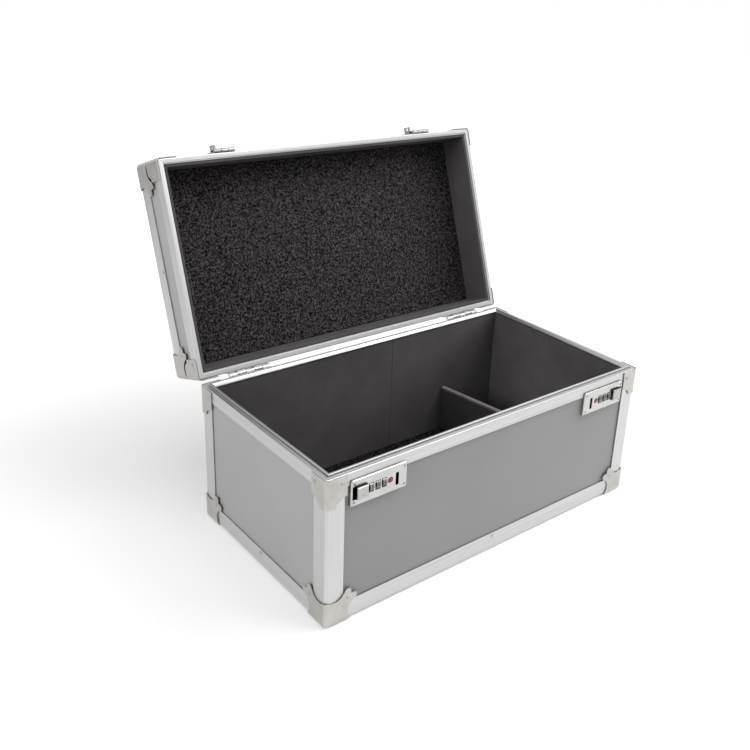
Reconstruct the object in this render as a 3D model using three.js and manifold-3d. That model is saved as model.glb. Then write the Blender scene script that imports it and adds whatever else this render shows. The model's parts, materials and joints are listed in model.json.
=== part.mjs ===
// Camera hard case with an aluminium frame: a base tray, a hinged lid, two combination locks
// with hasps, corner caps, linings, a divider and a carrying handle. Millimetres, +Z up, front at -Y.
import * as THREE from 'three';
import { mergeVertices } from 'three/addons/utils/BufferGeometryUtils.js';
import { RoundedBoxGeometry } from 'three/addons/geometries/RoundedBoxGeometry.js';
import Module from 'manifold-3d';

const wasm = await Module();
wasm.setup();

// Overall sizes, measured over the corner caps
const caseLength = 430;
const caseDepth = 235;
const baseHeight = 160;
const lidHeight = 58;
const lidOpenAngle = THREE.MathUtils.degToRad(108.6);

// Clearances, and the overrun that every cut takes past the faces it opens
const fit = 0.3;
const matingGap = 0.5;
const overrun = 2;

// Walls, from the outside in: rail, board, lining
const railWall = 1.4;
const railLeg = 20;
const railRound = 3;
const panelThickness = 4.5;
const liningThickness = 3;
const rimOverhang = 0.5;
const innerRound = 0.6;
const bottomFieldStep = 0.5;
const floorSpongeThickness = 5;
const lidSpongeThickness = 8;

// Pressed corner caps: reach along the edges, and the two lobes of each ear
const capWall = 1.2;
const capArm = 27;
const capDip = 8;
const capDipRise = 24;
const capNeck = 12.5;
const capNeckRise = 25;
const capFlare = 18;
const capFlareRise = 26.5;
const lobeFar = 31.8;
const lobeNear = 24.8;
const lobeRadius = 3.8;
const earRivetPlace = 24.8;

// Rim plates, bent round the upright edges at the rim
const rimPlateWidth = 21.8;
const rimPlateStep = 21;
const rimPlateNip = 4;
const rimPlateNipSlope = 1;
const rimPlateRivetAcross = 16.5;
const rimPlateRivetDown = 8;
const basePlateEnd = { drop: 30.5, tab: 9.5, bend: 10, bendDrop: 24 };
const lidPlateTab = 11;
const lidPlateBend = 17;
const capPlateSlit = 0.9;

// Rivets
const rivetRadius = 2;
const rivetRise = 0.9;
const rivetShank = 1.2;
const midRivetPlace = 16;

// Rim extrusions: depth of the band, thickness of the web, groove and raised lip
const bandHeight = 13;
const baseWeb = 2.4;
const lidWeb = 3.6;
const rimEdgeRound = 1.2;
const grooveStart = 4;
const grooveEnd = 5.4;
const grooveDepth = 1;
const lipWidth = 2.6;
const lipHeight = 2;
const lipChamfer = 0.4;
const lipClearance = 0.4;

// Hinges at the rear
const hingeInset = 35;
const hingeWidth = 50;
const hingeKnuckles = 5;
const hingeKnuckleGap = 0.4;
const hingeBarrel = 2.4;
const hingeAxisProud = 3.2;
const hingeLeafWall = 1.4;
const hingeLeafNear = 2.8;
const hingeLeafHeight = 10;
const hingePin = 1.1;
const hingeBore = 1.5;
const hingeStopLength = 6;

// Hasps on the front of the lid
const haspInset = 78.8;
const haspWidth = 25;
const haspKnuckles = 3;
const haspBarrel = 2.2;
const haspAxisProud = 2.5;
const haspAxisRise = 2.5;
const haspWall = 1.4;
const haspLeafNear = 2.7;
const haspLeafHeight = 6.9;
const haspRivetPlace = 8;
const haspRivetUp = 6;
const haspRivetRadius = 1.6;
const haspRivetRise = 0.7;
const haspPin = 0.9;
const haspBore = 1.3;
const haspJoggleStart = 8;
const haspJoggleEnd = 10.4;
const haspFaceGap = 0.5;
const haspCurlStart = 27;
const haspCurlRound = 2.2;
const haspLipRun = 1;
const haspShoulder = 4.6;
const haspWideHalf = 11;
const haspTipHalf = 9.3;
const haspTipRound = 2;

// Staple of each hasp, which enters the slot of the lock
const stapleThickness = 2.4;
const stapleTop = 20.7;
const stapleHeight = 10;
const stapleReach = 8;
const stapleWindowHeight = 4.6;
const stapleWindowWidth = 3;
const stapleWindowInset = 1.3;

// Combination locks: the plate, and the case behind it
const lockInset = 58.5;
const lockDrop = 21.5;
const lockLength = 64;
const lockHeight = 27;
const lockProud = 2.3;
const lockBevel = 0.8;
const lockCornerRound = 1.5;
const lockCaseLength = 60;
const lockCaseWall = 1.5;
const slotOffset = 20.3;
const slotWidth = 3.6;
const slotHeight = 13.2;
const slotDrop = 1.2;
const slotDepth = 8.8;
const indicatorOffset = 12.4;
const indicatorRadius = 2.7;
const indicatorDepth = 1.3;
const indicatorInset = 0.1;
const indicatorRound = 0.4;
const wheelPitch = 7.4;
const wheelOffset = -2;
const wheelThickness = 4.4;
const wheelRadius = 5.4;
const wheelValley = 4.9;
const wheelBore = 1.5;
const wheelAxle = 1.1;
const wheelAxisDepth = 3.5;
const windowWidth = 5.6;
const wheelFaces = 10;
const buttonOffset = -20.6;
const buttonSize = 12.6;
const buttonProud = 3.4;
const buttonBevel = 0.9;
const buttonTravel = 3;
const buttonMargin = 0.4;
const recessDepth = 2.5;
const recessFloor = 1.2;
const neckWidth = 3.2;
const neckHeight = 5;
const flangeWidth = 7;
const flangeHeight = 8;
const flangeThickness = 1.4;

// Divider board, standing slightly askew
const dividerShare = 0.578;
const dividerSkew = 30.5;
const dividerThickness = 5;
const dividerHeight = 60.5;
const dividerRound = 1.8;

// Carrying handle on the lid
const handleSpan = 107;
const handleRise = 34;
const handlePivotRise = 9;
const handleGripWidth = 13;
const handleGripDepth = 9;
const handleBend = 13;
const handleBendIn = 4.3;
const handleBendRun = 18;
const handleBoss = 5;
const handlePin = 2;
const handleEye = 2.5;
const bracketGap = 0.6;
const bracketEar = 3;
const bracketEarHalf = 5;
const bracketLength = 24;
const bracketToe = 4.5;
const bracketHalfWidth = 11;
const bracketWall = 1.6;
const bracketRivetPlace = 7.5;
const bracketRivetInset = 5;

// Facets on curves
const cornerSteps = 3;
const arcSteps = 2;
const rivetSides = 6;
const rodSides = 10;
const pinSides = 6;
const pocketSides = 12;
const handleSteps = 12;
const handleArcSteps = 4;

// Depths of each layer below the outer faces of the rails
const capProud = capWall + fit;
const panelFace = railWall + fit;
const panelBack = panelFace + panelThickness;
const liningFace = panelBack + fit;
const liningBack = liningFace + liningThickness;
const rimInner = liningBack + rimOverhang;

// Outer faces of the rails, and the levels of the base and of the closed lid
const railX = caseLength / 2 - capProud;
const railY = caseDepth / 2 - capProud;
const railBottom = bottomFieldStep - panelFace;
const restLevel = railBottom - capProud;
const rimTop = restLevel + baseHeight;
const bandBottom = rimTop - bandHeight;
const bottomPanelTop = bottomFieldStep + panelThickness;
const lidRim = rimTop + matingGap;
const railTop = lidRim + lidHeight - capProud;
const lidPanelUnder = railTop - panelBack;
const lipCeiling = rimTop + lipHeight + lipClearance;
const hingeY = railY + hingeAxisProud;
const hingeZ = (rimTop + lidRim) / 2;

// Finishes
function finish(color, roughness, metalness) {
  return new THREE.MeshStandardMaterial({ color, roughness, metalness });
}

const panelFinish = finish(0x959393, 0.6, 0);
const railFinish = finish(0xcfd0d2, 0.38, 0.9);
const capFinish = finish(0xb9b8b2, 0.35, 0.9);
const chromeFinish = finish(0xc9cbce, 0.15, 1);
const liningFinish = finish(0x423e3d, 0.95, 0);
const spongeFinish = finish(0x29282a, 0.98, 0);
const wheelFinish = finish(0xb8b9bc, 0.3, 0.9);
const indicatorFinish = finish(0xa8233a, 0.35, 0);
const gripFinish = finish(0x1c1c1d, 0.6, 0);

// A closed geometry as a solid that can be joined and cut
function solidOf(geometry) {
  const bare = geometry.clone();
  bare.deleteAttribute('normal');
  bare.deleteAttribute('uv');
  const closed = mergeVertices(bare);
  const vertProperties = Float32Array.from(closed.attributes.position.array);
  const triVerts = Uint32Array.from(closed.index.array);
  return new wasm.Manifold(new wasm.Mesh({ numProp: 3, vertProperties, triVerts }));
}

// The surface of a solid as a geometry
function geometryOf(solid) {
  const { vertProperties, triVerts } = solid.getMesh();
  const geometry = new THREE.BufferGeometry();
  geometry.setAttribute('position', new THREE.BufferAttribute(vertProperties, 3));
  geometry.setIndex(new THREE.BufferAttribute(triVerts, 1));
  geometry.computeVertexNormals();
  return geometry;
}

// A solid scaled by signs and then moved; a reflection also turns its triangles over
function reflected(solid, [sx, sy, sz], [x, y, z]) {
  const geometry = geometryOf(solid).scale(sx, sy, sz).translate(x, y, z);
  if (sx * sy * sz < 0) {
    const index = geometry.index.array;
    for (let i = 0; i < index.length; i += 3) {
      [index[i], index[i + 1]] = [index[i + 1], index[i]];
    }
  }
  return solidOf(geometry);
}

const mirroredX = (solid) => reflected(solid, [-1, 1, 1], [0, 0, 0]);
const joined = (solids) => solids.reduce((whole, solid) => whole.add(solid));
const without = (solid, cuts) => cuts.reduce((rest, cut) => rest.subtract(cut), solid);

// A block between two planes on each axis
function block([x0, x1], [y0, y1], [z0, z1]) {
  const geometry = new THREE.BoxGeometry(x1 - x0, y1 - y0, z1 - z0);
  return solidOf(geometry.translate((x0 + x1) / 2, (y0 + y1) / 2, (z0 + z1) / 2));
}

// A round bar along X
function rod(radius, [x0, x1], y, z, sides = rodSides) {
  const geometry = new THREE.CylinderGeometry(radius, radius, x1 - x0, sides);
  return solidOf(geometry.rotateZ(Math.PI / 2).translate((x0 + x1) / 2, y, z));
}

// An outline drawn in plan and raised from z0 to z1
function raised(shape, [z0, z1]) {
  const geometry = new THREE.ExtrudeGeometry(shape, {
    depth: z1 - z0,
    bevelEnabled: false,
    curveSegments: arcSteps,
  });
  return geometry.translate(0, 0, z0);
}

const plan = (shape, span) => solidOf(raised(shape, span));

// An outline drawn as seen along X (its axes are Y and Z), running from x0 to x1
function profileAlongX(shape, span) {
  const turn = new THREE.Matrix4().makeBasis(
    new THREE.Vector3(0, 1, 0),
    new THREE.Vector3(0, 0, 1),
    new THREE.Vector3(1, 0, 0),
  );
  return solidOf(raised(shape, span).applyMatrix4(turn));
}

// An outline drawn as seen from the front (its axes are X and Z), running from y0 to y1
function profileAlongY(shape, [y0, y1]) {
  const turn = new THREE.Matrix4().makeBasis(
    new THREE.Vector3(1, 0, 0),
    new THREE.Vector3(0, 0, 1),
    new THREE.Vector3(0, -1, 0),
  );
  return solidOf(raised(shape, [-y1, -y0]).applyMatrix4(turn));
}

// A section (depth below the rail faces, height) swept round the rounded rectangle of the case
function sweptRing(section) {
  const points = section.getPoints(arcSteps);
  if (!THREE.ShapeUtils.isClockWise(points)) points.reverse();
  const quarters = [[1, 1], [-1, 1], [-1, -1], [1, -1]];
  const positions = [];
  for (const { x: depth, y: height } of points) {
    const radius = Math.max(railRound - depth, innerRound);
    quarters.forEach(([sx, sy], quarter) => {
      for (let step = 0; step <= cornerSteps; step += 1) {
        const angle = (quarter + step / cornerSteps) * (Math.PI / 2);
        const x = sx * (railX - depth - radius) + radius * Math.cos(angle);
        const y = sy * (railY - depth - radius) + radius * Math.sin(angle);
        positions.push(x, y, height);
      }
    });
  }
  const around = quarters.length * (cornerSteps + 1);
  const index = [];
  for (let p = 0; p < points.length; p += 1) {
    for (let a = 0; a < around; a += 1) {
      const next = (a + 1) % around;
      const here = p * around;
      const above = ((p + 1) % points.length) * around;
      index.push(here + a, here + next, above + next);
      index.push(here + a, above + next, above + a);
    }
  }
  const geometry = new THREE.BufferGeometry();
  geometry.setAttribute('position', new THREE.Float32BufferAttribute(positions, 3));
  geometry.setIndex(index);
  return solidOf(geometry);
}

// A riveted head on a plate whose face is at z = 0, with a shank down to the given depth
function rivet(shankDepth, radius = rivetRadius, rise = rivetRise) {
  const sphere = (radius * radius + rise * rise) / (2 * rise);
  const rim = Math.asin(radius / sphere);
  const points = [
    new THREE.Vector2(0, -shankDepth),
    new THREE.Vector2(rivetShank, -shankDepth),
    new THREE.Vector2(rivetShank, -capWall / 2),
    new THREE.Vector2(radius, -capWall / 2),
  ];
  for (let step = 0; step <= arcSteps; step += 1) {
    const angle = rim * (1 - step / arcSteps);
    const across = step === arcSteps ? 0 : sphere * Math.sin(angle);
    points.push(new THREE.Vector2(across, sphere * Math.cos(angle) - sphere + rise));
  }
  return new THREE.LatheGeometry(points, rivetSides).rotateX(Math.PI / 2);
}

// Boards. The envelope is the rounded inside of the frame, which every outer board is cut to.
function envelope(outerLevel, up) {
  const width = 2 * (railX - panelFace);
  const depth = 2 * (railY - panelFace);
  const height = baseHeight + lidHeight;
  const round = railRound - panelFace;
  const geometry = new RoundedBoxGeometry(width, depth, height, cornerSteps, round);
  return solidOf(geometry.translate(0, 0, outerLevel + up * height / 2));
}

const baseEnvelope = envelope(bottomFieldStep, 1);
const lidEnvelope = envelope(railTop - panelFace, -1);
const baseWallSpan = [bottomPanelTop + fit, rimTop - baseWeb - fit];
const lidWallSpan = [lidRim + lidWeb + fit, lidPanelUnder - fit];
const lidLiningSpan = [lipCeiling, lidPanelUnder - fit];
const acrossX = [-(railX - panelFace), railX - panelFace];
const acrossY = [-(railY - panelFace), railY - panelFace];
const betweenY = [-(railY - panelBack - fit), railY - panelBack - fit];
const frontSpan = [-(railY - panelFace), -(railY - panelBack)];
const rearSpan = [railY - panelBack, railY - panelFace];
const leftSpan = [-(railX - panelFace), -(railX - panelBack)];
const rightSpan = [railX - panelBack, railX - panelFace];

// A block centred on the case that keeps the given distances from the rail faces
function field(marginX, marginY, span) {
  const x = railX - marginX;
  const y = railY - marginY;
  return block([-x, x], [-y, y], span);
}

// The bottom board is rebated, so that its field stands clear of the frame's legs and the caps
function bottomPanel() {
  const slab = block(acrossX, acrossY, [bottomFieldStep, bottomPanelTop]);
  const legMargin = railLeg + fit;
  const capMargin = lobeFar + lobeRadius + fit;
  const span = [0, bottomPanelTop];
  const fields = [field(legMargin, capMargin, span), field(capMargin, legMargin, span)];
  return joined([slab.intersect(baseEnvelope), ...fields]);
}

// Frames
// An L-section rail round the bottom of the base (up = 1) or the top of the lid (up = -1)
function edgeFrame(level, up) {
  const inner = railRound - railWall;
  const heel = level + up * railRound;
  const section = new THREE.Shape();
  section.moveTo(0, level + up * railLeg);
  section.lineTo(0, heel);
  section.absarc(railRound, heel, railRound, Math.PI, Math.PI + up * Math.PI / 2, up < 0);
  section.lineTo(railLeg, level);
  section.lineTo(railLeg, level + up * railWall);
  section.lineTo(railRound, level + up * railWall);
  section.absarc(railRound, heel, inner, Math.PI + up * Math.PI / 2, Math.PI, up > 0);
  section.lineTo(railWall, level + up * railLeg);
  return sweptRing(section);
}

// Rivets half way along the frame: in the front and rear rails, and in both side rails
function midRivets(level, up) {
  const height = level + up * midRivetPlace;
  const ofLong = rivet(panelFace - fit).rotateX(Math.PI / 2).translate(0, -railY, height);
  const ofShort = rivet(panelFace - fit).rotateY(Math.PI / 2).translate(railX, 0, height);
  const long = solidOf(ofLong);
  const short = solidOf(ofShort);
  const far = reflected(long, [1, -1, 1], [0, 0, 0]);
  return [long, far, short, mirroredX(short)];
}

const riveted = (frame, level, up) => joined([frame, ...midRivets(level, up)]);

// Upright L-section rail at one corner, its heel at the origin
function cornerRail() {
  const inner = railRound - railWall;
  const section = new THREE.Shape();
  section.moveTo(railLeg, 0);
  section.lineTo(railLeg, railWall);
  section.lineTo(railRound, railWall);
  section.absarc(railRound, railRound, inner, -Math.PI / 2, -Math.PI, true);
  section.lineTo(railWall, railLeg);
  section.lineTo(0, railLeg);
  section.lineTo(0, railRound);
  section.absarc(railRound, railRound, railRound, Math.PI, 1.5 * Math.PI, false);
  return plan(section, [railBottom + railLeg + fit, bandBottom - fit]);
}

// Rim of the base: outer band, rounded ledge, groove, raised lip and a slope to the inside
function baseRimFrame() {
  const lipEnd = grooveEnd + lipWidth;
  const section = new THREE.Shape();
  section.moveTo(0, bandBottom);
  section.lineTo(0, rimTop - rimEdgeRound);
  section.absarc(rimEdgeRound, rimTop - rimEdgeRound, rimEdgeRound, Math.PI, Math.PI / 2, true);
  section.lineTo(grooveStart, rimTop);
  section.lineTo(grooveStart, rimTop - grooveDepth);
  section.lineTo(grooveEnd, rimTop - grooveDepth);
  section.lineTo(grooveEnd, rimTop + lipHeight - lipChamfer);
  section.lineTo(grooveEnd + lipChamfer, rimTop + lipHeight);
  section.lineTo(lipEnd - lipChamfer, rimTop + lipHeight);
  section.lineTo(lipEnd, rimTop + lipHeight - lipChamfer);
  section.lineTo(rimInner, rimTop - grooveDepth);
  section.lineTo(rimInner, rimTop - baseWeb);
  section.lineTo(railWall, rimTop - baseWeb);
  section.lineTo(railWall, bandBottom);
  return sweptRing(section);
}

// Rim of the lid: outer band, rounded ledge, and a web that stays clear of the lip of the base
function lidRimFrame() {
  const ledgeEnd = grooveEnd - lipClearance;
  const bandTop = lidRim + bandHeight;
  const section = new THREE.Shape();
  section.moveTo(0, bandTop);
  section.lineTo(0, lidRim + rimEdgeRound);
  section.absarc(rimEdgeRound, lidRim + rimEdgeRound, rimEdgeRound, Math.PI, 1.5 * Math.PI, false);
  section.lineTo(ledgeEnd, lidRim);
  section.lineTo(ledgeEnd, lipCeiling);
  section.lineTo(panelBack, lipCeiling);
  section.lineTo(panelBack, lidRim + lidWeb);
  section.lineTo(railWall, lidRim + lidWeb);
  section.lineTo(railWall, bandTop);
  return sweptRing(section);
}

// A ring of board or lining between two depths
function wallRing(outer, inner, [z0, z1]) {
  const section = new THREE.Shape();
  section.moveTo(outer, z0);
  section.lineTo(outer, z1);
  section.lineTo(inner, z1);
  section.lineTo(inner, z0);
  return sweptRing(section);
}

// Corner hardware, drawn for a corner at the origin with the body on the positive side of each axis
function atCorner(solid, sx, sy, level, up) {
  return reflected(solid, [-sx, -sy, up], [sx * railX, sy * railY, level]);
}

// A block with rounded edges whose outer faces lie the given height above the rail faces
function cornerBlock(proud) {
  const size = 2 * (lobeFar + lobeRadius);
  const geometry = new RoundedBoxGeometry(size, size, size, cornerSteps, railRound + proud);
  return solidOf(geometry.translate(size / 2 - proud, size / 2 - proud, size / 2 - proud));
}

// One ear of a corner cap, alike on both sides of its diagonal
function earOutline() {
  const start = -capProud - overrun;
  const outline = new THREE.Shape();
  outline.moveTo(start, start);
  outline.lineTo(capArm, start);
  outline.lineTo(capArm, 0);
  outline.quadraticCurveTo(capDipRise, capDip, capNeckRise, capNeck);
  outline.quadraticCurveTo(capFlareRise, capFlare, lobeFar, lobeNear - lobeRadius);
  outline.absarc(lobeFar, lobeNear, lobeRadius, -Math.PI / 2, Math.PI / 2, false);
  outline.lineTo(lobeNear + lobeRadius, lobeNear + lobeRadius);
  outline.absarc(lobeNear, lobeFar, lobeRadius, 0, Math.PI, false);
  outline.quadraticCurveTo(capFlare, capFlareRise, capNeck, capNeckRise);
  outline.quadraticCurveTo(capDip, capDipRise, 0, capArm);
  outline.lineTo(start, capArm);
  return outline;
}

// The face plan of a corner piece turned onto the face across X, Y or Z
function ontoFace(geometry, turns) {
  const cycle = new THREE.Matrix4().makeBasis(
    new THREE.Vector3(0, 1, 0),
    new THREE.Vector3(0, 0, 1),
    new THREE.Vector3(1, 0, 0),
  );
  for (let turn = 0; turn < turns; turn += 1) geometry.applyMatrix4(cycle);
  return solidOf(geometry);
}

// A pressed cap: the rounded shell of the corner cut to three ears, each with its rivet.
// A turn of 0, 1 or 2 stands for the face across Z, X or Y; the case stands on bare Z faces.
function cornerCap(rivetedTurns) {
  const shell = cornerBlock(capProud).subtract(cornerBlock(fit));
  const earSpan = [-capProud - overrun, railRound + fit];
  const ears = [0, 1, 2].map((turns) => ontoFace(raised(earOutline(), earSpan), turns));
  const heads = rivetedTurns.map((turns) => {
    const head = rivet(capProud + panelFace - fit).rotateX(Math.PI);
    return ontoFace(head.translate(earRivetPlace, earRivetPlace, -capProud), turns);
  });
  return joined([shell.intersect(joined(ears)), ...heads]);
}

// Outline of one leg of a rim plate: across from the edge and down from the rim to a narrow tab
function rimPlateOutline({ drop, tab, bend, bendDrop }) {
  const start = -capProud - overrun;
  const outline = new THREE.Shape();
  outline.moveTo(start, 0);
  outline.lineTo(rimPlateWidth, 0);
  outline.lineTo(rimPlateWidth, rimPlateStep);
  outline.lineTo(rimPlateWidth - rimPlateNip, rimPlateStep + rimPlateNipSlope);
  outline.quadraticCurveTo(bend, bendDrop, tab, drop);
  outline.lineTo(start, drop);
  return outline;
}

// A post with one rounded upright edge, its faces the given height above the rail faces
function cornerPost(proud, drop) {
  const round = railRound + proud;
  const far = rimPlateWidth + overrun;
  const section = new THREE.Shape();
  section.moveTo(far, -proud);
  section.lineTo(far, far);
  section.lineTo(-proud, far);
  section.lineTo(-proud, railRound);
  section.absarc(railRound, railRound, round, Math.PI, 1.5 * Math.PI, false);
  return plan(section, [0, drop]);
}

// A bent plate over the upright edge, drawn with Z running away from the rim
function rimPlate(end) {
  const shell = cornerPost(capProud, end.drop).subtract(cornerPost(fit, end.drop + overrun));
  const depthSpan = [-capProud - overrun, railRound + fit];
  const leg = profileAlongY(rimPlateOutline(end), depthSpan);
  const otherLeg = swapXY(leg);
  const head = rivet(capWall).rotateX(Math.PI / 2);
  const rivetOne = solidOf(head.translate(rimPlateRivetAcross, -capProud, rimPlateRivetDown));
  return joined([shell.intersect(leg.add(otherLeg)), rivetOne, swapXY(rivetOne)]);
}

// The mirror image across the diagonal plane of a corner
function swapXY(solid) {
  const turned = geometryOf(solid).rotateZ(Math.PI / 2);
  return reflected(solidOf(turned), [-1, 1, 1], [0, 0, 0]);
}

// Knuckled leaves, drawn round their axis with the wall on the -Y side and the plate above the axis
function knuckleSpans(width, count) {
  const pitch = width / count;
  const start = -width / 2;
  return Array.from({ length: count }, (_, i) => [
    start + i * pitch + hingeKnuckleGap / 2,
    start + (i + 1) * pitch - hingeKnuckleGap / 2,
  ]);
}

function knuckledLeaf({ spans, width, radius, axisProud, wall, near, height }) {
  const back = fit - axisProud;
  const ySpan = [back, back + wall];
  const plate = block([-width / 2, width / 2], ySpan, [near, near + height]);
  const knuckles = spans.map((span) => rod(radius, span, 0, 0));
  const webs = spans.map((span) => block(span, ySpan, [0, near + fit]));
  return joined([plate, ...knuckles, ...webs]);
}

const hingeSpans = knuckleSpans(hingeWidth, hingeKnuckles);
const hingeLeaf = {
  width: hingeWidth,
  radius: hingeBarrel,
  axisProud: hingeAxisProud,
  wall: hingeLeafWall,
  near: hingeLeafNear,
  height: hingeLeafHeight,
};

// Base leaf with the pin, hanging below the axis
function hingeBaseLeaf() {
  const spans = hingeSpans.filter((_, i) => i % 2 === 0);
  const leaf = reflected(knuckledLeaf({ ...hingeLeaf, spans }), [1, 1, -1], [0, 0, 0]);
  const pin = rod(hingePin, [hingeSpans[0][0], hingeSpans.at(-1)[1]], 0, 0, pinSides);
  return leaf.add(pin);
}

// Lid leaf above the axis; each knuckle has a tail that meets the base leaf when the lid is open
function hingeLidLeaf() {
  const spans = hingeSpans.filter((_, i) => i % 2 === 1);
  const tailBack = fit - hingeAxisProud + hingeLeafWall + fit;
  const turn = new THREE.Matrix4().makeRotationX(lidOpenAngle);
  const tails = spans.map((span) => {
    const tail = block(span, [tailBack, tailBack + hingeLeafWall], [-hingeStopLength, 0]);
    return solidOf(geometryOf(tail).applyMatrix4(turn));
  });
  const leaf = joined([knuckledLeaf({ ...hingeLeaf, spans }), ...tails]);
  return leaf.subtract(rod(hingeBore, [-hingeWidth, hingeWidth], 0, 0, pinSides));
}

// Hasps, drawn round their axis with the wall on the +Y side
const haspSpans = knuckleSpans(haspWidth, haspKnuckles);
const haspBack = haspAxisProud - fit;

function haspMount() {
  const spans = haspSpans.filter((_, i) => i % 2 === 0);
  const sizes = { width: haspWidth, radius: haspBarrel, axisProud: haspAxisProud, wall: haspWall };
  const leaf = knuckledLeaf({ ...sizes, near: haspLeafNear, height: haspLeafHeight, spans });
  const pin = rod(haspPin, [haspSpans[0][0], haspSpans.at(-1)[1]], 0, 0, pinSides);
  const heads = [-haspRivetPlace, haspRivetPlace].map((x) => {
    const head = rivet(haspWall / 2, haspRivetRadius, haspRivetRise).rotateX(-Math.PI / 2);
    return solidOf(head.translate(x, fit + haspWall - haspAxisProud, haspRivetUp));
  });
  return reflected(joined([leaf, pin, ...heads]), [1, -1, 1], [0, 0, 0]);
}

// Side view of the flap as it hangs: knuckle tangent, joggle over the lock, straight and finger curl
const haspFront = haspAxisProud - lockProud - haspFaceGap;
const haspCurlOuter = haspCurlRound + haspWall;
const haspLipReach = haspCurlOuter + haspLipRun - haspFront;
const haspLipDrop = haspCurlStart + haspCurlOuter;

function haspSideOutline() {
  const curlY = haspFront - haspCurlOuter;
  const outline = new THREE.Shape();
  outline.moveTo(haspBack, 0);
  outline.lineTo(haspBack, -haspJoggleStart);
  outline.lineTo(haspFront, -haspJoggleEnd);
  outline.lineTo(haspFront, -haspCurlStart);
  outline.absarc(curlY, -haspCurlStart, haspCurlOuter, 0, -Math.PI / 2, true);
  outline.lineTo(curlY - haspLipRun, -haspLipDrop);
  outline.lineTo(curlY - haspLipRun, -haspLipDrop + haspWall);
  outline.lineTo(curlY, -haspLipDrop + haspWall);
  outline.absarc(curlY, -haspCurlStart, haspCurlRound, -Math.PI / 2, 0, false);
  outline.lineTo(haspFront - haspWall, -haspJoggleEnd - haspWall / 2);
  outline.lineTo(haspBack - haspWall, -haspJoggleStart - haspWall / 2);
  outline.lineTo(haspBack - haspWall, 0);
  return outline;
}

// Front view of the flap: a neck between the knuckles, shoulders, and a taper to rounded corners
function haspFrontOutline() {
  const neck = haspSpans[1][1];
  const bottom = -haspLipDrop - overrun;
  const outline = new THREE.Shape();
  outline.moveTo(neck, haspBarrel);
  outline.lineTo(neck, -haspShoulder + haspWall);
  outline.lineTo(haspWideHalf - haspWall, -haspShoulder);
  outline.lineTo(haspWideHalf, -haspShoulder - haspWall);
  outline.lineTo(haspTipHalf, -haspCurlStart);
  outline.lineTo(haspTipHalf, bottom);
  outline.lineTo(-haspTipHalf, bottom);
  outline.lineTo(-haspTipHalf, -haspCurlStart);
  outline.lineTo(-haspWideHalf, -haspShoulder - haspWall);
  outline.lineTo(-haspWideHalf + haspWall, -haspShoulder);
  outline.lineTo(-neck, -haspShoulder + haspWall);
  outline.lineTo(-neck, haspBarrel);
  return outline;
}

// Rounded corners of the finger lip, seen from below
function haspLipOutline() {
  const lipY = haspFront - haspCurlOuter - haspLipRun;
  const roundX = haspTipHalf - haspTipRound;
  const roundY = lipY + haspTipRound;
  const outline = new THREE.Shape();
  outline.moveTo(haspWideHalf, haspAxisProud);
  outline.lineTo(-haspWideHalf, haspAxisProud);
  outline.lineTo(-haspWideHalf, haspFront - haspWall);
  outline.lineTo(-haspTipHalf, haspFront - haspWall);
  outline.absarc(-roundX, roundY, haspTipRound, Math.PI, 1.5 * Math.PI, false);
  outline.absarc(roundX, roundY, haspTipRound, 1.5 * Math.PI, 2 * Math.PI, false);
  outline.lineTo(haspTipHalf, haspFront - haspWall);
  outline.lineTo(haspWideHalf, haspFront - haspWall);
  return outline;
}

// The staple with the window that the bolt of the lock enters
function haspStaple() {
  const half = stapleThickness / 2;
  const ySpan = [haspFront - haspWall / 2, stapleReach];
  const bar = block([-half, half], ySpan, [-stapleTop - stapleHeight, -stapleTop]);
  const windowFar = stapleReach - stapleWindowInset;
  const windowY = [windowFar - stapleWindowWidth, windowFar];
  const windowMiddle = -stapleTop - stapleHeight / 2;
  const windowZ = [windowMiddle - stapleWindowHeight / 2, windowMiddle + stapleWindowHeight / 2];
  return bar.subtract(block([-half - overrun, half + overrun], windowY, windowZ));
}

function haspFlap() {
  const sheet = profileAlongX(haspSideOutline(), [-haspWideHalf, haspWideHalf]);
  const depthSpan = [-haspLipDrop, haspAxisProud];
  const cutSheet = sheet
    .intersect(profileAlongY(haspFrontOutline(), depthSpan))
    .intersect(plan(haspLipOutline(), [-haspLipDrop - overrun, haspBarrel]));
  const knuckle = rod(haspBarrel, haspSpans[1], 0, 0);
  const bore = rod(haspBore, [-haspWidth, haspWidth], 0, 0, pinSides);
  return joined([cutSheet, knuckle, haspStaple()]).subtract(bore);
}

// The flap lies back on the lid until its curled lip meets the board of the lid's front
const haspTipRadius = Math.hypot(haspLipReach, haspLipDrop);
const haspRestShortfall = Math.asin(haspLipReach / haspTipRadius)
  - Math.asin((haspAxisProud + panelFace - fit) / haspTipRadius);
const haspFoldAngle = Math.PI - haspRestShortfall;

// Locks, drawn for the left lock: X runs towards the middle, and depth counts from the rail faces
const lockX = lockInset - caseLength / 2;
const lockZ = rimTop - lockDrop;
const frontAt = (depth) => depth - railY;
const lockSpanX = (centre, width) => [lockX + centre - width / 2, lockX + centre + width / 2];
const lockSpanZ = (centre, height) => [lockZ + centre - height / 2, lockZ + centre + height / 2];
const depthSpanY = (near, far) => [frontAt(near), frontAt(far)];
const wheelAxisAt = wheelAxisDepth - lockProud;
const lockCaseBack = liningBack - fit;
const lockCaseTop = bandBottom - 2 * fit;
const lockCaseBottom = lockZ - slotDrop - slotHeight / 2 - lockCaseWall;
const lockCaseX = lockSpanX(0, lockCaseLength);
const wheelCentres = [-1, 0, 1].map((step) => wheelOffset + step * wheelPitch);
const recessBack = recessDepth - lockProud;
const cavityFront = recessBack + recessFloor;
const cavityBack = cavityFront + flangeThickness + 2 * fit;

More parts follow.
